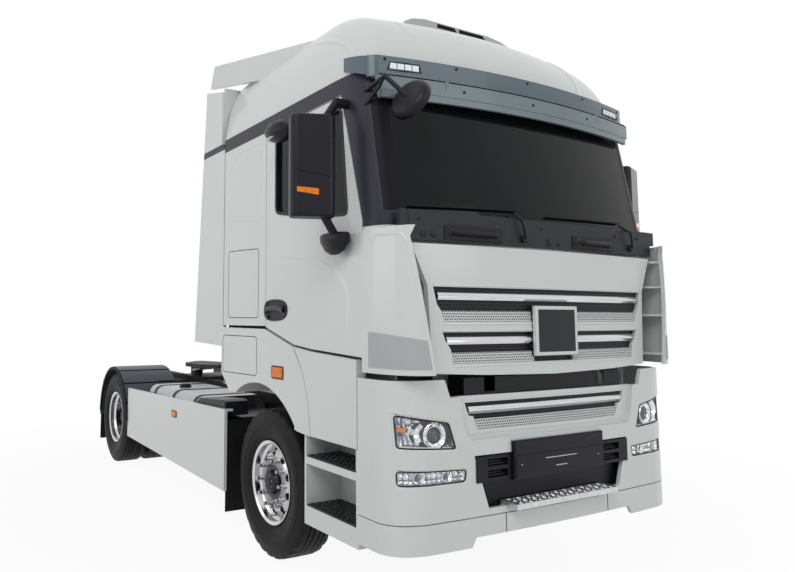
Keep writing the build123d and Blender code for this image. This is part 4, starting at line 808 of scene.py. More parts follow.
def edge_gap(u, v, quad_width, quad_height):
    """Distance from the nearest edge of the opening."""
    return min(u * quad_width, (1 - u) * quad_width, v * quad_height, (1 - v) * quad_height)


def lamp_spot(quad, side, u, v, depth):
    place = quad_point(quad, u, v)
    return on_face(bumper_face, side * place.x, place.y, -depth)


def headlamp_depth(u, v):
    """Bowl, fluted in its outer part."""
    flutes = 0.010 * abs(sin(u * 9 * pi)) if u > 0.60 else 0.0
    return 0.010 + 0.052 * smooth(edge_gap(u, v, 0.38, 0.19) / 0.030) - flutes


def fog_lamp_depth(u, v):
    """Bowl with flutes both ways."""
    bowl = 0.010 + 0.030 * smooth(edge_gap(u, v, 0.45, 0.09) / 0.020)
    return bowl - 0.007 * abs(sin(u * 12 * pi)) - 0.004 * abs(sin(v * 3 * pi))


def lamp_rim(bevel, gasket, side, quad, inset, radius):
    """White bevel and dark gasket round one lamp opening."""
    def spot(p, out=0.0):
        return on_face(bumper_face, side * p.x, p.y, out)

    outer, inner = lamp_outline(quad, inset, radius)
    bevel.skin([[spot(p, -0.0012)[0] for p in outer], [spot(p, -0.006)[0] for p in inner]])
    middle = spot(sum((Vector(p) for p in quad), Vector((0, 0))) / 4)[0]
    spine = []
    for k, p in enumerate(inner):
        place, normal = spot(p, -0.008)
        along = (spot(inner[(k + 1) % len(inner)])[0] - spot(inner[k - 1])[0]).normalized()
        inward = normal.cross(along)
        if inward.dot(middle - place) < 0:
            inward = -inward
        spine.append((place, normal, inward))
    sweep(gasket, spine, [(-0.006, -0.001), (0.003, -0.001), (0.003, 0.005), (-0.006, 0.006)], ring=True)


def add_front_lamps():
    """Headlamps and fog lamps in place of the plain lamp solids."""
    for side, hand in HANDS:
        bowl, fog, bevel, gasket, rings, eyes, bars, amber, dark = [Maker() for _ in range(9)]
        lamp_sheet(bowl, HEADLAMP, side, headlamp_depth, 96, 28)
        lamp_sheet(fog, FOG_LAMP, side, fog_lamp_depth, 120, 18)
        lamp_rim(bevel, gasket, side, HEADLAMP, 0.010, 0.022)
        lamp_rim(bevel, gasket, side, FOG_LAMP, 0.008, 0.024)
        forward = Vector((0.10 * side, -1, 0))
        place = lamp_spot(HEADLAMP, side, 0.34, 0.47, 0.058)[0]
        rings.lathe([(-0.004, 0.078), (0.034, 0.078), (0.037, 0.074), (0.018, 0.056), (0.022, 0.050),
                     (0.030, 0.047), (0.022, 0.043), (-0.004, 0.043)], place, forward, 48, closed=True)
        dark.lathe([(0.0, 0.079), (0.039, 0.079), (0.039, 0.084), (0.0, 0.084)], place, forward, 48,
                   closed=True)
        eyes.lathe([(0.004, 0.043), (0.014, 0.040), (0.026, 0.030), (0.033, 0.015), (0.035, 0.0)], place,
                   forward, 40)
        place = lamp_spot(HEADLAMP, side, 0.665, 0.50, 0.054)[0]
        rings.lathe([(-0.004, 0.058), (0.024, 0.058), (0.027, 0.054), (0.008, 0.030), (0.004, 0.012),
                     (-0.004, 0.012)], place, forward, 40, closed=True)
        bars.lathe([(0.0, 0.011), (0.020, 0.011), (0.026, 0.007), (0.028, 0.0)], place, forward, 20)
        for u, size in ((0.30, 0.036), (0.72, 0.034)):
            spot = lamp_spot(FOG_LAMP, side, u, 0.5, 0.036)
            rings.lathe([(0, size), (0.020, size), (0.022, size - 0.004), (0.008, size * 0.5),
                         (0, size * 0.4)], *spot, 32, closed=True)
            eyes.lathe([(0.001, size * 0.45), (0.010, size * 0.3), (0.014, 0.0)], *spot, 24)
        sweep(bars, [(*lamp_spot(HEADLAMP, side, u, 0.09, 0.034), UP) for u in steps(0.08, 0.94, 24)],
              [(-0.010, -0.004), (0.012, -0.004), (0.014, 0.0), (0.012, 0.004), (-0.010, 0.004)])
        sweep(amber, [(*lamp_spot(HEADLAMP, side, u, 0.55, 0.030), UP) for u in steps(0.83, 0.955, 8)],
              [(-0.010, -0.012), (0.006, -0.011), (0.009, 0.0), (0.006, 0.011), (-0.010, 0.012)])
        bowl.piece(f"headlamp_bowl_{hand}", "chassis", LAMP_BOWL)
        fog.piece(f"fog_lamp_bowl_{hand}", "chassis", LAMP_BOWL)
        bevel.piece(f"lamp_bevels_{hand}", "chassis", WHITE_PAINT, angle=60)
        for maker, name, stuff in (
                (gasket, "lamp_gaskets", BLACK_PLASTIC), (rings, "lamp_rings", LAMP_RING),
                (dark, "lamp_dark_rings", GLOSS_BLACK), (eyes, "lamp_eyes", LAMP_EYE),
                (bars, "lamp_light_bars", LAMP_WHITE), (amber, "lamp_amber_ends", AMBER)):
            maker.piece(f"{name}_{hand}", "chassis", stuff)
        for quad, name, stuff in ((HEADLAMP, "headlamp", LENS), (FOG_LAMP, "fog_lamp", FLUTED_LENS)):
            cover = Maker()
            lamp_sheet(cover, quad, side, lambda u, v: COVER_DEPTH, 24, 12, 0.01)
            made = cover.piece(f"{name}_cover_{hand}", "chassis", stuff)
            if quad is HEADLAMP:
                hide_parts("front_lamps")


def add_bumper():
    """Bar, pierced strip and pods in the bumper's openings, plate holder and seams."""
    chrome, strip, brow, slots, holder, marks, studs, seams = [Maker() for _ in range(8)]
    blade = [(-0.022, -0.024), (-0.010, -0.021), (0.004, -0.005), (0.0, 0.010), (-0.010, 0.021),
             (-0.022, 0.024)]
    slat = [(-0.020, -0.032), (-0.003, -0.032), (-0.006, 0.022), (-0.012, 0.028), (-0.020, 0.028)]
    crest = [(-0.004, -0.010), (0.003, -0.004), (0.003, 0.004), (-0.004, 0.010)]
    for maker, half, z, section in ((chrome, 0.688, 1.200, blade), (strip, 0.634, 1.118, slat),
                                    (brow, 0.74, 1.262, crest), (brow, 0.70, 1.070, crest)):
        bar_across(maker, sunk_face, -half, half, z, section)
    chrome.piece("bumper_bar", "chassis", CHROME, angle=30)
    strip.piece("bumper_strip", "chassis", PIERCED, angle=30)
    brow.piece("mouth_creases", "chassis", WHITE_PAINT, angle=30)

    for side in (-1, 1):
        for z in (0.816, 0.880):
            for k in range(3):
                y, low = -1.632 + k * 0.012, z + 0.006 + k * 0.013
                slots.prism(rect(side * 0.432, side * 0.588, low, low + 0.006),
                            lambda p, end: at(p[0], y + 0.010 * end, p[1] + 0.004 * end))
    slots.piece("pod_slats", "chassis", DARK_PLASTIC, smooth=False)

    for half, z0, z1 in ((0.388, 0.798, 0.926), (0.394, 0.938, 1.007)):
        holder.slab(rect(-half, half, z0, z1), -1.6715, -1.6765)
    holder.piece("plate_holder_panels", "chassis", BLACK_PLASTIC, smooth=False, bevel=0.002)
    for x0, x1, z in ((-0.14, 0.14, 0.893), (-0.05, 0.05, 0.842), (-0.350, -0.338, 0.872),
                      (0.338, 0.350, 0.872)):
        marks.slab(rect(x0, x1, z - 0.003, z + 0.003), -1.6765, -1.6790)
    marks.piece("plate_clips", "chassis", STEEL, smooth=False, bevel=0.001)

    for row in range(5):
        for k in range(21 - row % 2):
            centre = at(-0.40 + 0.04 * k + (0.02 if row % 2 else 0.0), -1.716 + row * 0.024, 0.6675)
            turn = radians(35 if (row + k) % 2 else -35)
            along = Vector((cos(turn), sin(turn), 0)) * 0.014
            across = Vector((-sin(turn), cos(turn), 0)) * 0.005
            foot = [centre + along, centre + across, centre - along, centre - across]
            studs.skin([foot, [centre + (p - centre) * 0.6 + UP * 0.0028 for p in foot]], last=True)
    studs.piece("tread_studs", "chassis", TREAD_ALLOY, smooth=False)

    for x in (-0.455, 0.455):
        spine = [(*on_face(bumper_face, x, z), Vector((1, 0, 0))) for z in steps(0.500, 0.603, 4)]
        sweep(seams, spine, seam_groove(0.005))
    seams.piece("lip_seams", "chassis", GAP_BLACK, smooth=False)


VISOR_HALF = 1.165


def add_visor():
    """Lamps, screws, the pale lower band and its dark line on the sun visor."""
    frames, cells, screws, band, line = [Maker() for _ in range(5)]
    quad = [(0.86, 3.238), (1.085, 3.236), (1.062, 3.286), (0.872, 3.288)]
    for side in (-1, 1):
        spine = []
        for k in range(4):
            a, b = quad[k], quad[(k + 1) % 4]
            for t in steps(0, 1, 6)[:-1]:
                x, z = a[0] + (b[0] - a[0]) * t, a[1] + (b[1] - a[1]) * t
                inward = Vector((side * (0.97 - x), 0, 3.262 - z)).normalized()
                spine.append((*on_face(visor_high, side * x, z), inward))
        sweep(frames, spine, [(-0.002, -0.005), (0.004, -0.004), (0.004, 0.004), (-0.002, 0.006)],
              ring=True)
        for x0 in [0.874 + k * 0.050 for k in range(4)]:
            cells.prism(rect(x0, x0 + 0.044, 3.244, 3.281),
                        lambda p, end: on_face(visor_high, side * p[0], p[1], 0.0005 + 0.003 * end)[0])
    for x in (-1.10, -0.60, 0.0, 0.60, 1.10):
        disc_on(screws, on_face(visor_high, x, 3.300), 0.010, 0.003)
    for x in (-0.58, 0.0, 0.58):
        disc_on(screws, on_face(visor_low, x, 3.140, 0.003), 0.010, 0.003)
    bar_across(band, visor_low, -VISOR_HALF, VISOR_HALF, 3.140,
               [(-0.004, -0.046), (0.003, -0.045), (0.003, 0.043), (-0.004, 0.044)])
    bar_across(line, visor_low, -VISOR_HALF, VISOR_HALF, 3.188,
               [(-0.003, -0.004), (0.0015, -0.004), (0.0015, 0.004), (-0.003, 0.004)])
    band.piece("visor_band", "cab", BAND, angle=30)
    line.piece("visor_line", "cab", GAP_BLACK, angle=30)
    frames.piece("visor_lamp_frames", "cab", BLACK_PLASTIC)
    cells.piece("visor_lamp_cells", "cab", LAMP_WHITE, smooth=False, bevel=0.001)
    screws.piece("visor_screws", "cab", BLACK_PLASTIC)


def add_cowl():
    """Wipers, grab handles, caps and round plugs between lid and windshield."""
    black, rubber, dark = Maker(), Maker(), Maker()
    for pivot, elbow, x0, x1 in ((-0.217, -0.290, -1.04, -0.24), (0.860, 0.790, 0.02, 0.83)):
        place, normal = on_face(cowl_face, pivot, 2.225)
        disc_on(dark, (place, normal), 0.024, 0.020)
        top = on_face(glass_face, elbow, 2.385, 0.032)[0]
        middle = on_face(cowl_face, (pivot + elbow) / 2, 2.33, 0.034)[0]
        start = place + normal * 0.022
        black.tube([start, start.lerp(middle, 0.5) + Vector((0, -0.004, 0)), middle, top], 0.009, 10)
        spine = [(*on_face(glass_face, x, 2.384 + 0.02 * (x - x0) / (x1 - x0)), UP) for x in steps(x0, x1,
                                                                                                   24)]
        sweep(rubber, spine,
              [(0.002, -0.002), (0.002, 0.002), (0.014, 0.006), (0.022, 0.003), (0.022, -0.003),
               (0.014, -0.006)])
    for x0, x1 in ((-0.80, -0.45), (0.29, 0.62)):
        z = 2.232
        start, n0 = on_face(cowl_face, x0, z)
        end, n1 = on_face(cowl_face, x1, z)
        near, far = Vector((0.02, 0, 0)), Vector((0.06, 0, 0))
        path = [start, start + n0 * 0.030 + near, start + n0 * 0.038 + far,
                end + n1 * 0.038 - far, end + n1 * 0.030 - near, end]
        black.tube(curve(path, 6), 0.014, 14)
        for x in (x0, x1):
            disc_on(dark, on_face(cowl_face, x, z), 0.030, 0.010)
        bar_across(dark, cowl_face, x0 - 0.05, x1 + 0.05, z,
                   [(-0.001, -0.045), (0.005, -0.040), (0.005, 0.040), (-0.001, 0.045)], 16)
    for x, z, r in ((-1.00, 2.215, 0.022), (-0.93, 2.215, 0.020), (-1.03, 2.30, 0.010),
                    (0.02, 2.215, 0.024),
                    (0.11, 2.212, 0.016), (-0.05, 2.30, 0.010), (0.95, 2.30, 0.010), (0.70, 2.30, 0.014)):
        disc_on(dark, on_face(cowl_face, x, z), r, 0.004)
    black.piece("wiper_arms_and_handles", "cab", BLACK_PLASTIC)
    rubber.piece("wiper_blades", "cab", FLAP)
    dark.piece("cowl_plugs", "cab", BLACK_PLASTIC)


GUIDE = ((1.234, -1.313), (1.234, -1.690), (1.120, -1.728), (0.900, -1.728))


def guide_point(side, t, z, out=0.0):
    """Place on an air guide's outer skin."""
    p = bezier(t, *GUIDE)
    q = bezier(min(1.0, t + 0.004), *GUIDE) - bezier(max(0.0, t - 0.004), *GUIDE)
    normal = Vector((-q.y, q.x)).normalized()
    return at(side * (p.x + normal.x * out), p.y + normal.y * out,
              z), Vector((side * normal.x, normal.y, 0))


def guide_edge(z):
    """Curve place of the free front edge at a height."""
    edge = 1.022 + (z - 1.40) / 0.79 * 0.126
    low, high = 0.0, 1.0
    for _ in range(30):
        t = (low + high) / 2
        if bezier(t, *GUIDE).x > edge:
            low = t
        else:
            high = t
    return low


def add_air_guides():
    """Grey foot patch and a raised outline on each air guide."""
    patch, crease = Maker(), Maker()
    for side in (-1, 1):
        rows = []
        for j in range(9):
            row = []
            for i in range(17):
                share = i / 16
                z0, z1 = 1.452, 1.655 - 0.045 * share
                z = z0 + (z1 - z0) * j / 8
                t = 0.06 + (guide_edge(z) - 0.035 - 0.06) * share
                row.append(guide_point(side, t, z, 0.0022)[0])
            rows.append(row)
        patch.skin(rows, closed=False)
        path = [(0.10, z) for z in steps(1.70, 2.17, 8)]
        path += [(t, 2.205) for t in steps(0.14, guide_edge(2.2) - 0.10, 6)]
        path += [(guide_edge(z) - 0.05, z) for z in steps(2.16, 1.66, 10)]
        sweep(crease, across_path([guide_point(side, t, z) for t, z in path]), ridge(0.020, 0.003))
    patch.piece("guide_patches", "cab", GUIDE_GREY)
    crease.piece("guide_creases", "cab", WHITE_PAINT)


CAB_SIDE = 1.220
FENDER_SIDE = 1.232


def add_sides():
    """Creases, hatch outlines, handles, glass rubbers and markers on both sides."""
    door_crease = [(-0.330, 2.176), (-0.520, 2.158), (-0.696, 2.124), (-0.945, 2.049), (-1.094, 1.947),
                   (-1.137, 1.841), (-1.128, 1.569)]
    window = [(-0.210, 3.070), (-0.210, 2.500), (-0.700, 2.410), (-1.150, 2.368), (-1.085, 3.060)]
    locker = [(0.068, 2.262), (0.068, 1.735), (0.620, 1.738), (0.620, 2.282)]
    hatch = [(0.065, 1.592), (0.065, 1.303), (0.690, 1.296), (0.690, 1.594)]
    blank = [(0.008, 3.085), (0.440, 3.088), (0.640, 2.960), (0.690, 2.560), (0.008, 2.470)]
    for side, hand, word in SIDES:
        door = f"{word}_door"
        crease = Maker()
        sweep(crease, line_on_side(side, CAB_SIDE, curve(door_crease, 8)), ridge(0.050, 0.006))
        crease.piece(f"door_crease_{hand}", door, WHITE_PAINT, angle=60)
        rubber = Maker()
        sweep(rubber, outline_on_side(side, CAB_SIDE, window, 0.05),
              [(-0.030, -0.012), (0.003, -0.012), (0.003, 0.010), (-0.010, 0.014), (-0.030, 0.014)],
              ring=True)
        rubber.piece(f"window_rubber_{hand}", door, BLACK_PLASTIC, angle=50)
        dish, paddle = Maker(), Maker()
        oval = []
        for ca, sa in [(cos(a), sin(a)) for a in turns(48)]:
            oval.append((0.176 * abs(ca) ** 0.7 * (1 if ca > 0 else -1),
                         (0.078 + 0.006 * ca) * abs(sa) ** 0.8 * (1 if sa > 0 else -1)))
        rings = ((1.0, 0.0), (0.985, 0.008), (0.93, 0.011), (0.86, 0.009), (0.80, 0.003), (0.4, 0.0015))
        dish.skin([[at(side * (CAB_SIDE + out), -0.216 + y * share, 1.790 + z * share) for y, z in oval]
                   for share, out in rings], last=True)
        dish.piece(f"handle_dish_{hand}", door, BLACK_PLASTIC)
        grip = [(-0.350, 1.790), (-0.300, 1.802), (-0.200, 1.806), (-0.120, 1.800), (-0.085, 1.788)]
        sweep(paddle, line_on_side(side, CAB_SIDE, curve(grip, 5)),
              [(0.004, -0.020), (0.020, -0.018), (0.026, 0.0), (0.020, 0.018), (0.004, 0.020)])
        paddle.lathe([(0, 0.0), (0, 0.012), (0.012, 0.011), (0.013, 0.0)], at(side * 1.223, -0.105, 1.745),
                     (side, 0, 0), 20)
        paddle.piece(f"handle_grip_{hand}", door, GLOSS_BLACK)

        lines = Maker()
        sweep(lines, outline_on_side(side, CAB_SIDE, locker, 0.035), seam_groove(0.005), ring=True)
        sweep(lines, line_on_side(side, CAB_SIDE, [(0.722, z) for z in steps(1.68, 3.24, 6)]),
              seam_groove(0.006))
        lines.piece(f"sleeper_seams_{hand}", "cab", GAP_BLACK, smooth=False)
        soft = Maker()
        sweep(soft, outline_on_side(side, CAB_SIDE, blank, 0.09), ridge(0.026, 0.0035), ring=True)
        soft.piece(f"sleeper_creases_{hand}", "cab", WHITE_PAINT, angle=60)
        lines = Maker()
        sweep(lines, outline_on_side(side, FENDER_SIDE, hatch, 0.035), seam_groove(0.005), ring=True)
        lines.piece(f"fender_hatch_seam_{hand}", "chassis", GAP_BLACK, smooth=False)
        lip = Maker()
        arc = [bezier(t, (-0.520, 0.985), (-0.560, 1.250), (-0.330, 1.275), (-0.020, 1.285), (0.300, 1.270),
                      (0.440, 1.165)) for t in steps(0, 1, 24)]
        sweep(lip, line_on_side(side, FENDER_SIDE, arc), ridge(0.016, 0.003))
        lip.piece(f"arch_crease_{hand}", "chassis", WHITE_PAINT, angle=60)
        for name, y, z, half, high, x in (("fender", -0.270, 1.349, 0.085, 0.042, FENDER_SIDE),
                                          ("fairing", 1.840, 0.816, 0.065, 0.028, 1.230)):
            body = Maker()
            outline = rect(y - half, y + half, z - high, z + high)
            sweep(body, outline_on_side(side, x, outline, 0.014),
                  [(-0.001, -0.004), (0.006, -0.003), (0.006, 0.003), (-0.001, 0.006)], ring=True)
            body.piece(f"{name}_marker_base_{hand}", "chassis", BLACK_PLASTIC)
            lens = Maker()
            lens.skin([[at(side * (x + out), y + (a - y) * share * 0.95, z + (b - z) * share * 0.9)
                        for a, b in outline] for share, out in ((1.0, 0.0), (0.96, 0.008), (0.80, 0.012))],
                      last=True)
            lens.piece(f"{name}_marker_lens_{hand}", "chassis", AMBER, smooth=False, bevel=0.002)


MIRROR_CENTRE = (1.4825, -1.165)
MIRROR_SWEEP = radians(22)


def mirror_point(side, a, b, z):
    """Place in a mirror housing: a outward along it, b to the rear."""
    x = side * (MIRROR_CENTRE[0] + a * cos(MIRROR_SWEEP) - b * sin(MIRROR_SWEEP))
    y = MIRROR_CENTRE[1] + a * sin(MIRROR_SWEEP) + b * cos(MIRROR_SWEEP)
    return at(x, y, z)


def add_gap_shade_strips():
    """Dark strips behind the gap between the cab's floor edge and the panels under it: painted shade, so
    that the gap shows dark rather than the white panels behind it.
    """
    top = [(0.735, 1.682), (-0.060, 1.672), (-0.360, 1.581), (-0.485, 1.548), (-0.720, 1.526),
           (-1.245, 1.499)]
    low = [(-1.245, 1.440), (-0.720, 1.470), (-0.485, 1.495), (-0.360, 1.530), (-0.060, 1.610),
           (0.735, 1.620)]
    strips = Maker()
    for side in (-1, 1):
        strips.prism(top + low, lambda p, end: at(side * (1.140 + 0.024 * end), p[0], p[1]))
    strips.piece("floor_gap_shade_strips", "chassis", FLAP, smooth=False)


def add_mirrors():
    """Panes, amber strip, split line and foot of each door mirror, and the two kerb-side mirrors."""
    for side, hand, word in SIDES:
        door = f"{word}_door"
        panes, amber, seam = Maker(), Maker(), Maker()
        for z0, z1 in ((2.505, 2.905), (2.355, 2.485)):
            panes.prism(rect(-0.105, 0.105, z0, z1),
                        lambda p, end: mirror_point(side, p[0], 0.0685 + 0.003 * end, p[1]))
        panes.piece(f"mirror_panes_{hand}", door, CHROME, smooth=False, bevel=0.002)
        amber.prism([(-0.030, 2.452), (0.100, 2.470), (0.100, 2.500), (-0.030, 2.490)],
                    lambda p, end: mirror_point(side, p[0], -0.0685 - 0.003 * end, p[1]))
        amber.piece(f"mirror_amber_{hand}", door, AMBER, smooth=False, bevel=0.001)
        seam.prism([(-0.100, 2.560), (0.100, 2.600), (0.100, 2.604), (-0.100, 2.564)],
                   lambda p, end: mirror_point(side, p[0], -0.0680 - 0.0025 * end, p[1]))
        seam.piece(f"mirror_seam_{hand}", door, GAP_BLACK, smooth=False)
        foot = Maker()
        centre = at(side * 1.285, -1.105, 2.190)
        foot.lathe([(-0.072, 0.0), (-0.070, 0.040), (-0.045, 0.095), (0.010, 0.140), (0.045, 0.146),
                    (0.058, 0.132), (0.062, 0.0)], centre, (0, 0, 1), 40)
        foot.points = [(centre.x + (p[0] - centre.x) * 0.42, p[1], p[2]) for p in foot.points]
        foot.piece(f"mirror_foot_{hand}", door, BLACK_PLASTIC)
    pod = Maker()
    centre = at(-1.335, -0.470, 3.035)
    pod.lathe([(-0.165, 0.0), (-0.155, 0.030), (-0.110, 0.062), (-0.030, 0.080), (0.060, 0.074),
               (0.130, 0.048), (0.160, 0.022), (0.165, 0.0)], centre, (0, 1, 0.10), 36)
    pod.tube(curve([at(-1.216, -0.700, 3.072), at(-1.262, -0.690, 3.082), at(-1.310, -0.600, 3.068),
                    at(-1.335, -0.520, 3.050)], 6), 0.022, 16)
    pod.lathe([(-0.004, 0.045), (0.010, 0.042), (0.014, 0.0)], at(-1.219, -0.700, 3.072), (-1, 0, 0), 24)
    pod.piece("kerb_pod", "right_door", BLACK_PLASTIC)
    glass = Maker()
    glass.lathe([(0.0, 0.062), (0.003, 0.060), (0.004, 0.0)], centre + Vector((-0.010, 0.010, -0.078)),
                (-0.10, 0.0, -1), 32)
    glass.points = [(p[0], centre.y + (p[1] - centre.y) * 1.6, p[2] + 0.024) for p in glass.points]
    glass.piece("kerb_pod_glass", "right_door", CHROME)
    pane = Maker()
    axis = Vector((-0.87, -0.16, 0.42)).normalized()
    pane.lathe([(-0.0030, 0.0), (-0.0030, 0.112), (0.0005, 0.116)], at(-1.047, -1.580, 2.990), axis, 40)
    pane.piece("kerb_mirror_glass", "cab", CHROME)


FRONT_TRACK = 1.020
REAR_TRACK = 1.075
TWIN_OFFSET = -0.336
TREAD_SEGMENTS = 150


def tyre_profile(centre):
    """Tread, grooves, shoulders and walls of a tyre as (along, radius), about an offset from its plane."""
    half = [(0.0, 0.530), (0.020, 0.530), (0.021, 0.518), (0.029, 0.518), (0.030, 0.5298), (0.058, 0.5296),
            (0.059, 0.517),
            (0.067, 0.517), (0.068, 0.5294), (0.096, 0.529), (0.110, 0.5285), (0.118, 0.5265),
            (0.124, 0.522), (0.130, 0.506),
            (0.137, 0.489), (0.142, 0.470), (0.1455, 0.452), (0.1475, 0.449), (0.1485, 0.436),
            (0.1495, 0.426),
            (0.1495, 0.410), (0.148, 0.392), (0.1465, 0.390), (0.1440, 0.370), (0.139, 0.345),
            (0.137, 0.343), (0.130, 0.325),
            (0.121, 0.310), (0.112, 0.303), (0.108, 0.299), (0.106, 0.286)]
    return [(centre - a, r) for a, r in reversed(half[1:])] + [(centre + a, r) for a, r in half]


def add_tyres():
    """Treaded tyres in place of the plain ones."""
    for name, body, x, y, offsets in (("tyre_front", "front_wheel", FRONT_TRACK, 0.0, (0.0,)),
                                      ("tyre_rear", "rear_wheel", REAR_TRACK, REAR, (0.0, TWIN_OFFSET))):
        for side, hand, word in SIDES:
            maker = Maker()
            centre = at(side * x, y, AXLE_Z)
            for offset in offsets:
                rows = []
                for k, turn in enumerate(turns(TREAD_SEGMENTS)):
                    out = Vector((0, cos(turn), sin(turn)))
                    cut = k % 5 in (0, 1) if name == "tyre_front" else k % 3 == 0
                    row = []
                    for a, r in tyre_profile(offset):
                        if cut and 0.100 < abs(a - offset) < 0.128 and r > 0.50:
                            r -= 0.007
                        row.append(centre + Vector((side * a, 0, 0)) + out * r)
                    rows.append(row)
                maker.skin(rows, looped=True)
            made = maker.piece(f"{name}_tread_{hand}", f"{word}_{body}", TYRE, angle=40)
            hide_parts(f"{name}_{hand}")


NUTS, NUT_CIRCLE = 10, 0.1675
HUB_BOLTS, HUB_BOLT_CIRCLE = 8, 0.054


def add_wheel_trim():
    """Nuts, hub bolts, valves, hub caps and hub rings on the wheels."""
    for name, x, y, low, high, face, foot, foot_r in (
            ("front_wheel", FRONT_TRACK, 0.0, 0.096, 0.122, 0.135, 0.128, 0.078),
            ("rear_wheel", REAR_TRACK, REAR, -0.152, -0.126, 0.045, 0.030, 0.096)):
        nut = [(low - 0.001, 0.0), (low - 0.001, 0.023), (low + 0.005, 0.023), (low + 0.006, 0.0185),
               (high, 0.0185), (high + 0.003, 0.0145), (high + 0.004, 0.011), (high + 0.030, 0.011),
               (high + 0.032, 0.009), (high + 0.032, 0.0)]
        bolt = [(face + a, r) for a, r in ((-0.001, 0.0), (-0.001, 0.005), (0.006, 0.005), (0.007, 0.0))]
        cap = [(face + a, r) for a, r in ((-0.001, 0.045), (0.005, 0.044), (0.008, 0.039), (0.008, 0.027),
                                          (0.014, 0.025), (0.016, 0.018), (0.017, 0.0))]
        ring = [(face - 0.0005, 0.047), (face + 0.0015, 0.047), (face + 0.0015, 0.062),
                (foot + 0.0015, foot_r + 0.001), (foot - 0.001, foot_r), (face - 0.0005, 0.0615)]
        for side, hand, word in SIDES:
            nuts, bolts, caps, rings = [Maker() for _ in range(4)]
            centre, axis = at(side * x, y, AXLE_Z), (side, 0, 0)
            for a in turns(NUTS):
                nuts.lathe(nut, centre + Vector((0, cos(a), sin(a))) * NUT_CIRCLE, axis, 12)
            for a in turns(HUB_BOLTS, 0.5):
                bolts.lathe(bolt, centre + Vector((0, cos(a), sin(a))) * HUB_BOLT_CIRCLE, axis, 6)
            start = centre + Vector((side * (low - 0.02), 0.0, -0.245))
            bolts.tube([start, start + Vector((side * 0.045, 0, 0.012))], 0.005, 8)
            caps.lathe(cap, centre, axis, 32)
            rings.lathe(ring, centre, axis, 32, closed=True)
            body = f"{word}_{name}"
            caps.piece(f"{name}_hub_cap_{hand}", body, CAST_STEEL, angle=30)
            rings.piece(f"{name}_hub_ring_{hand}", body, BLACK_PAINT, angle=30)
            nuts.piece(f"{name}_nuts_{hand}", body, STEEL, smooth=False, bevel=0.0008)
            bolts.piece(f"{name}_hub_bolts_{hand}", body, STEEL, smooth=False)


def add_steps():
    """Black treads with raised rings in the step boxes."""
    for side, hand in HANDS:
        treads = Maker()
        for z in (0.525, 0.835):
            treads.prism(rect(0.965, 1.224, -1.222, -0.672),
                         lambda p, end: at(side * p[0], p[1], z + 0.001 + 0.010 * end))
            for i in range(11):
                for j in range(5):
                    place = at(side * (0.995 + j * 0.050), -1.195 + i * 0.050, z + 0.010)
                    treads.lathe([(0, 0.018), (0.005, 0.016), (0.005, 0.011), (0, 0.009)], place, UP, 12,
                                 closed=True)
        treads.piece(f"step_treads_{hand}", "chassis", BLACK_PLASTIC, angle=40)
        step = Maker()
        step.prism([(0.72, 0.925), (0.72, 1.040), (0.78, 1.052), (1.28, 1.022), (1.42, 0.950),
                    (1.42, 0.925)], lambda p, end: at(side * (0.98 + 0.215 * end), p[0], p[1]))
        step.piece(f"side_step_{hand}", "chassis", DARK_PLASTIC, smooth=False, bevel=0.008)


def add_tank():
    """Straps and filler cap on the fuel tank."""
    straps, cap = Maker(), Maker()
    x0, x1, z0, z1, r = -1.165, -0.520, 0.430, 1.015, 0.090
    outline = []
    for cx, cz, start in ((x1 - r, z1 - r, 0), (x0 + r, z1 - r, 90), (x0 + r, z0 + r, 180),
                          (x1 - r, z0 + r, 270)):
        for k in range(7):
            a = radians(start + 15 * k)
            outline.append((cx, cz, cos(a), sin(a)))
    for y in (1.500, 2.060, 2.620):
        spine = []
        for cx, cz, ca, sa in outline:
            out = Vector((ca, 0, sa))
            spine.append((at(cx, y, cz) + out * r, out, Vector((0, 1, 0))))
        sweep(straps, spine, [(0.0, -0.030), (0.005, -0.028), (0.005, 0.028), (0.0, 0.030)], ring=True)
    straps.piece("tank_straps", "chassis", BLACK_PAINT)
    cap.lathe([(0, 0.0), (0, 0.062), (0.020, 0.062), (0.022, 0.055), (0.034, 0.053), (0.038, 0.045),
               (0.039, 0.0)], at(-0.93, 2.34, 1.014), (0, 0, 1), 40)
    cap.piece("tank_cap", "chassis", BLACK_PLASTIC)


GUARD_RADIUS = 0.604
EDGE_RADIUS = 0.590


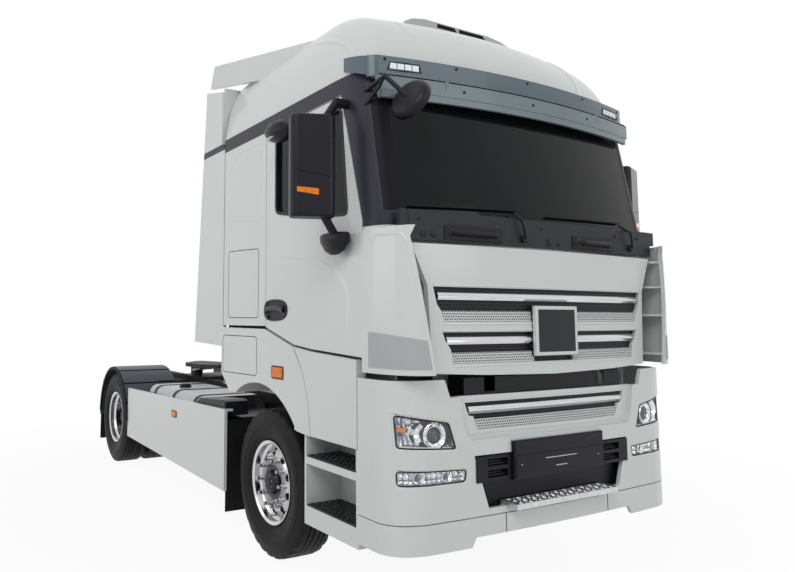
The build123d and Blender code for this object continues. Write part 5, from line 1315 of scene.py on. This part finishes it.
def add_rear():
    """Ribs and rubber edge of the rear guards, tail lamp fields and coupling details."""
    for side, hand in HANDS:
        ribs, edge = Maker(), Maker()
        for degrees_up in (38, 62, 86, 110, 134, 158):
            a = radians(degrees_up)
            out = Vector((0, cos(a), sin(a)))
            along = Vector((0, -sin(a), cos(a)))
            spine = [(at(side * x, REAR, AXLE_Z) + out * GUARD_RADIUS, out, along) for x in (0.602, 0.92,
                                                                                             1.238)]
            sweep(ribs, spine,
                  [(-0.002, -0.012), (0.004, -0.006), (0.001, 0.0), (0.004, 0.006), (-0.002, 0.012)])
        ribs.piece(f"guard_ribs_{hand}", "chassis", GAP_BLACK)
        spine = []
        for a in (radians(t) for t in steps(2, 178, 48)):
            out = Vector((0, cos(a), sin(a)))
            spine.append((at(side * 1.240, REAR, AXLE_Z) + out * EDGE_RADIUS, Vector((side, 0, 0)), out))
        sweep(edge, spine,
              [(-0.010, -0.022), (0.006, -0.022), (0.010, 0.0), (0.006, 0.015), (-0.010, 0.015)])
        edge.piece(f"guard_edge_{hand}", "chassis", FLAP)
        for k, stuff in enumerate((RED, AMBER, RED, LAMP_WHITE)):
            lens = Maker()
            x0 = 0.735 + k * 0.102
            lens.slab(rect(x0, x0 + 0.092, 0.748, 0.892), REAR + 0.846, REAR + 0.8495, side)
            lens.piece(f"tail_lens_{k}_{hand}", "chassis", stuff, smooth=False, bevel=0.001)
    jaw = Maker()
    jaw.lathe([(-0.002, 0.030), (0.0015, 0.032), (0.0015, 0.060), (-0.002, 0.062)], at(0, 3.380, 1.190),
              (0, 0, 1), 48, closed=True)
    jaw.piece("coupling_wear_ring", "coupling", STEEL)
    lever = Maker()
    lever.tube([at(-0.30, 3.12, 1.140), at(-0.48, 3.10, 1.135), at(-0.56, 3.12, 1.130)], 0.010, 10)
    lever.piece("coupling_lever", "coupling", STEEL)


def snap(node, points):
    """Points laid on a node's surface, with its normals there."""
    thing = NODES[node]
    inverse = thing.matrix_world.inverted()
    found = []
    for p in points:
        _, place, normal, _ = thing.closest_point_on_mesh(inverse @ p)
        normal = (thing.matrix_world.to_3x3() @ normal).normalized()
        found.append((thing.matrix_world @ place, normal))
    return found


LIP_FOOT = 3.838
LIP_SLOPE = 0.4


def add_roof():
    """Raised lines on the roof, the dark slots of its hatch and the slotted lip ahead of it."""
    lines = Maker()
    inner = [(0.742, -1.05, 3.73), (0.773, -1.157, 3.652), (0.758, -1.211, 3.600), (0.741, -1.260, 3.546),
             (0.735, -1.312, 3.468), (0.711, -1.350, 3.393), (0.700, -1.375, 3.33)]
    outer = [(0.955, 0.30, 3.820), (0.975, 0.05, 3.810), (1.003, -0.184, 3.789), (1.068, -0.515, 3.707),
             (1.111, -0.785, 3.620), (1.136, -0.948, 3.548), (1.147, -1.047, 3.490), (1.164, -1.129, 3.399),
             (1.175, -1.150, 3.34)]
    for side, run in ((-1, inner), (-1, outer), (1, inner), (1, outer)):
        laid = snap("roof", curve([at(side * x, y, z) for x, y, z in run], 6))
        sweep(lines, across_path(laid), [(-0.001, -0.020), (0.004, -0.012), (0.006, 0.0), (0.001, 0.022),
                                         (-0.001, 0.026)])
    lines.piece("roof_creases", "cab", WHITE_PAINT, angle=60)
    low, high = [b.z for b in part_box("roof_hatch")]
    near, far = [b.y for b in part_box("roof_hatch")]
    slots = Maker()
    for x0, x1 in ((-0.235, -0.055), (-0.030, 0.250)):
        slots.prism([(x0, low + 0.010), (x1, low + 0.010), (x1 - 0.015, high - 0.008),
                     (x0 + 0.015, high - 0.008)],
                    lambda p, end: Vector((p[0], near + 0.006 - 0.009 * end, p[1])))
        slots.prism([(x0, near + 0.020), (x1, near + 0.020), (x1 - 0.02, near + 0.085),
                     (x0 + 0.02, near + 0.085)],
                    lambda p, end: Vector((p[0], p[1], high - 0.001 + 0.004 * end)))
    slots.prism(rect(-0.33, 0.33, near + 0.13, far - 0.05),
                lambda p, end: Vector((p[0] * (1 - 0.03 * end), p[1], high - 0.001 + 0.004 * end)))
    slots.piece("hatch_slots", "hatch", BLACK_PLASTIC, smooth=False, bevel=0.001)
    lip = Maker()
    brow = [(-0.520, LIP_FOOT), (0.500, LIP_FOOT), (0.500, 3.870), (0.430, 3.905), (0.300, 3.928),
            (-0.330, 3.928), (-0.450, 3.905), (-0.520, 3.870)]

    def lean(z):
        """Depth that the lip's sloped front gains up to a height."""
        return (z - LIP_FOOT) * LIP_SLOPE

    lip.prism(brow, lambda p, end: Vector((p[0], near - 0.065 + 0.055 * end + lean(p[1]) * (1 - end), p[1])))
    lip.piece("hatch_lip", "cab", GUIDE_GREY, smooth=False, bevel=0.006)
    holes = Maker()
    for x0, x1 in ((-0.230, -0.040), (-0.015, 0.250)):
        holes.prism([(x0, 3.876), (x1, 3.876), (x1 - 0.012, 3.912), (x0 + 0.012, 3.912)],
                    lambda p, end: Vector((p[0], near - 0.056 + lean(p[1]) - 0.012 * end, p[1])))
    holes.piece("hatch_lip_slots", "cab", GAP_BLACK, smooth=False)


def add_interior():
    """Seats and bunk with padded covers on their frames, in place of the plain solids."""
    frames = Maker()
    for side in (-1, 1):
        frames.prism([(-0.700, 1.735), (-0.300, 1.735), (-0.320, 2.050), (-0.680, 2.050)],
                     lambda p, end: at(side * (0.440 + 0.28 * end), p[0], p[1]))
        frames.prism(rect(0.10, 0.64, 1.735, 2.135),
                     lambda p, end: at(side * (1.000 + 0.04 * end), p[0], p[1]))
    made = frames.piece("seat_frames", "cab", BLACK_PLASTIC, smooth=False, bevel=0.006)
    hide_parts("seats")
    for side, hand in HANDS:
        x = side * 0.580
        seat = cushion(f"seat_cushion_{hand}", (0.505, 0.515, 0.140), 0.045)
        seat.matrix_world = Matrix.Translation(at(x, -0.515, 2.130))
        finish_cushion(seat, "cab")
        back = cushion(f"seat_back_{hand}", (0.505, 0.125, 0.760), 0.050)
        back.matrix_world = Matrix.Translation(at(x, -0.137, 2.585)) @ Matrix.Rotation(radians(-10.5), 4,
                                                                                       "X")
        finish_cushion(back, "cab")
    bunk = cushion("bunk_mattress", (2.270, 0.560, 0.120), 0.045)
    bunk.matrix_world = Matrix.Translation(at(0, 0.355, 2.200))
    finish_cushion(bunk, "cab")


PULL = 0.018
CELL = 0.035


def cushion(name, size, corner):
    """Closed pad with rounded corners and sides that pull in between them."""
    counts = [max(6, min(40, int(s / CELL))) for s in size]
    points, faces, index = [], [], {}

    def pad_point(u, v, w):
        half = [s / 2 for s in size]
        p = [(share - 0.5) * s for share, s in zip((u, v, w), size)]
        inner = [max(-(h - corner), min(h - corner, c)) for c, h in zip(p, half)]
        away = Vector(p) - Vector(inner)
        if away.length > 1e-9:
            p = Vector(inner) + away.normalized() * min(corner, max(abs(c) for c in away))
        p = Vector(p)
        p.x -= PULL * (1 if p.x > 0 else -1) * sin(pi * v) * sin(pi * w) * (abs(p.x) / half[0]) ** 6
        p.y -= PULL * 0.6 * (1 if p.y > 0 else -1) * sin(pi * u) * sin(pi * w) * (abs(p.y) / half[1]) ** 6
        return p

    def vertex(place):
        if place not in index:
            index[place] = len(points)
            points.append(pad_point(*[i / count for i, count in zip(place, counts)]))
        return index[place]

    for flat, a, b in ((2, 0, 1), (1, 0, 2), (0, 1, 2)):
        for i in range(counts[a]):
            for j in range(counts[b]):
                for end in (0, counts[flat]):
                    face = []
                    for u, v in ((i, j), (i + 1, j), (i + 1, j + 1), (i, j + 1)):
                        place = {flat: end, a: u, b: v}
                        face.append(vertex((place[0], place[1], place[2])))
                    faces.append(face)
    made = mesh_piece(name, points, faces, smooth=True)
    face_outward(made.data)
    return made


def finish_cushion(made, body):
    made.data.materials.append(CLOTH)
    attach(made, body)


add_camera()
add_studio()
dress_nodes()
add_front_lid()
add_front_lamps()
add_bumper()
add_visor()
add_cowl()
add_air_guides()
add_sides()
add_gap_shade_strips()
add_mirrors()
add_tyres()
add_wheel_trim()
add_steps()
add_tank()
add_rear()
add_roof()
add_interior()

scene.view_settings.view_transform = "Standard"
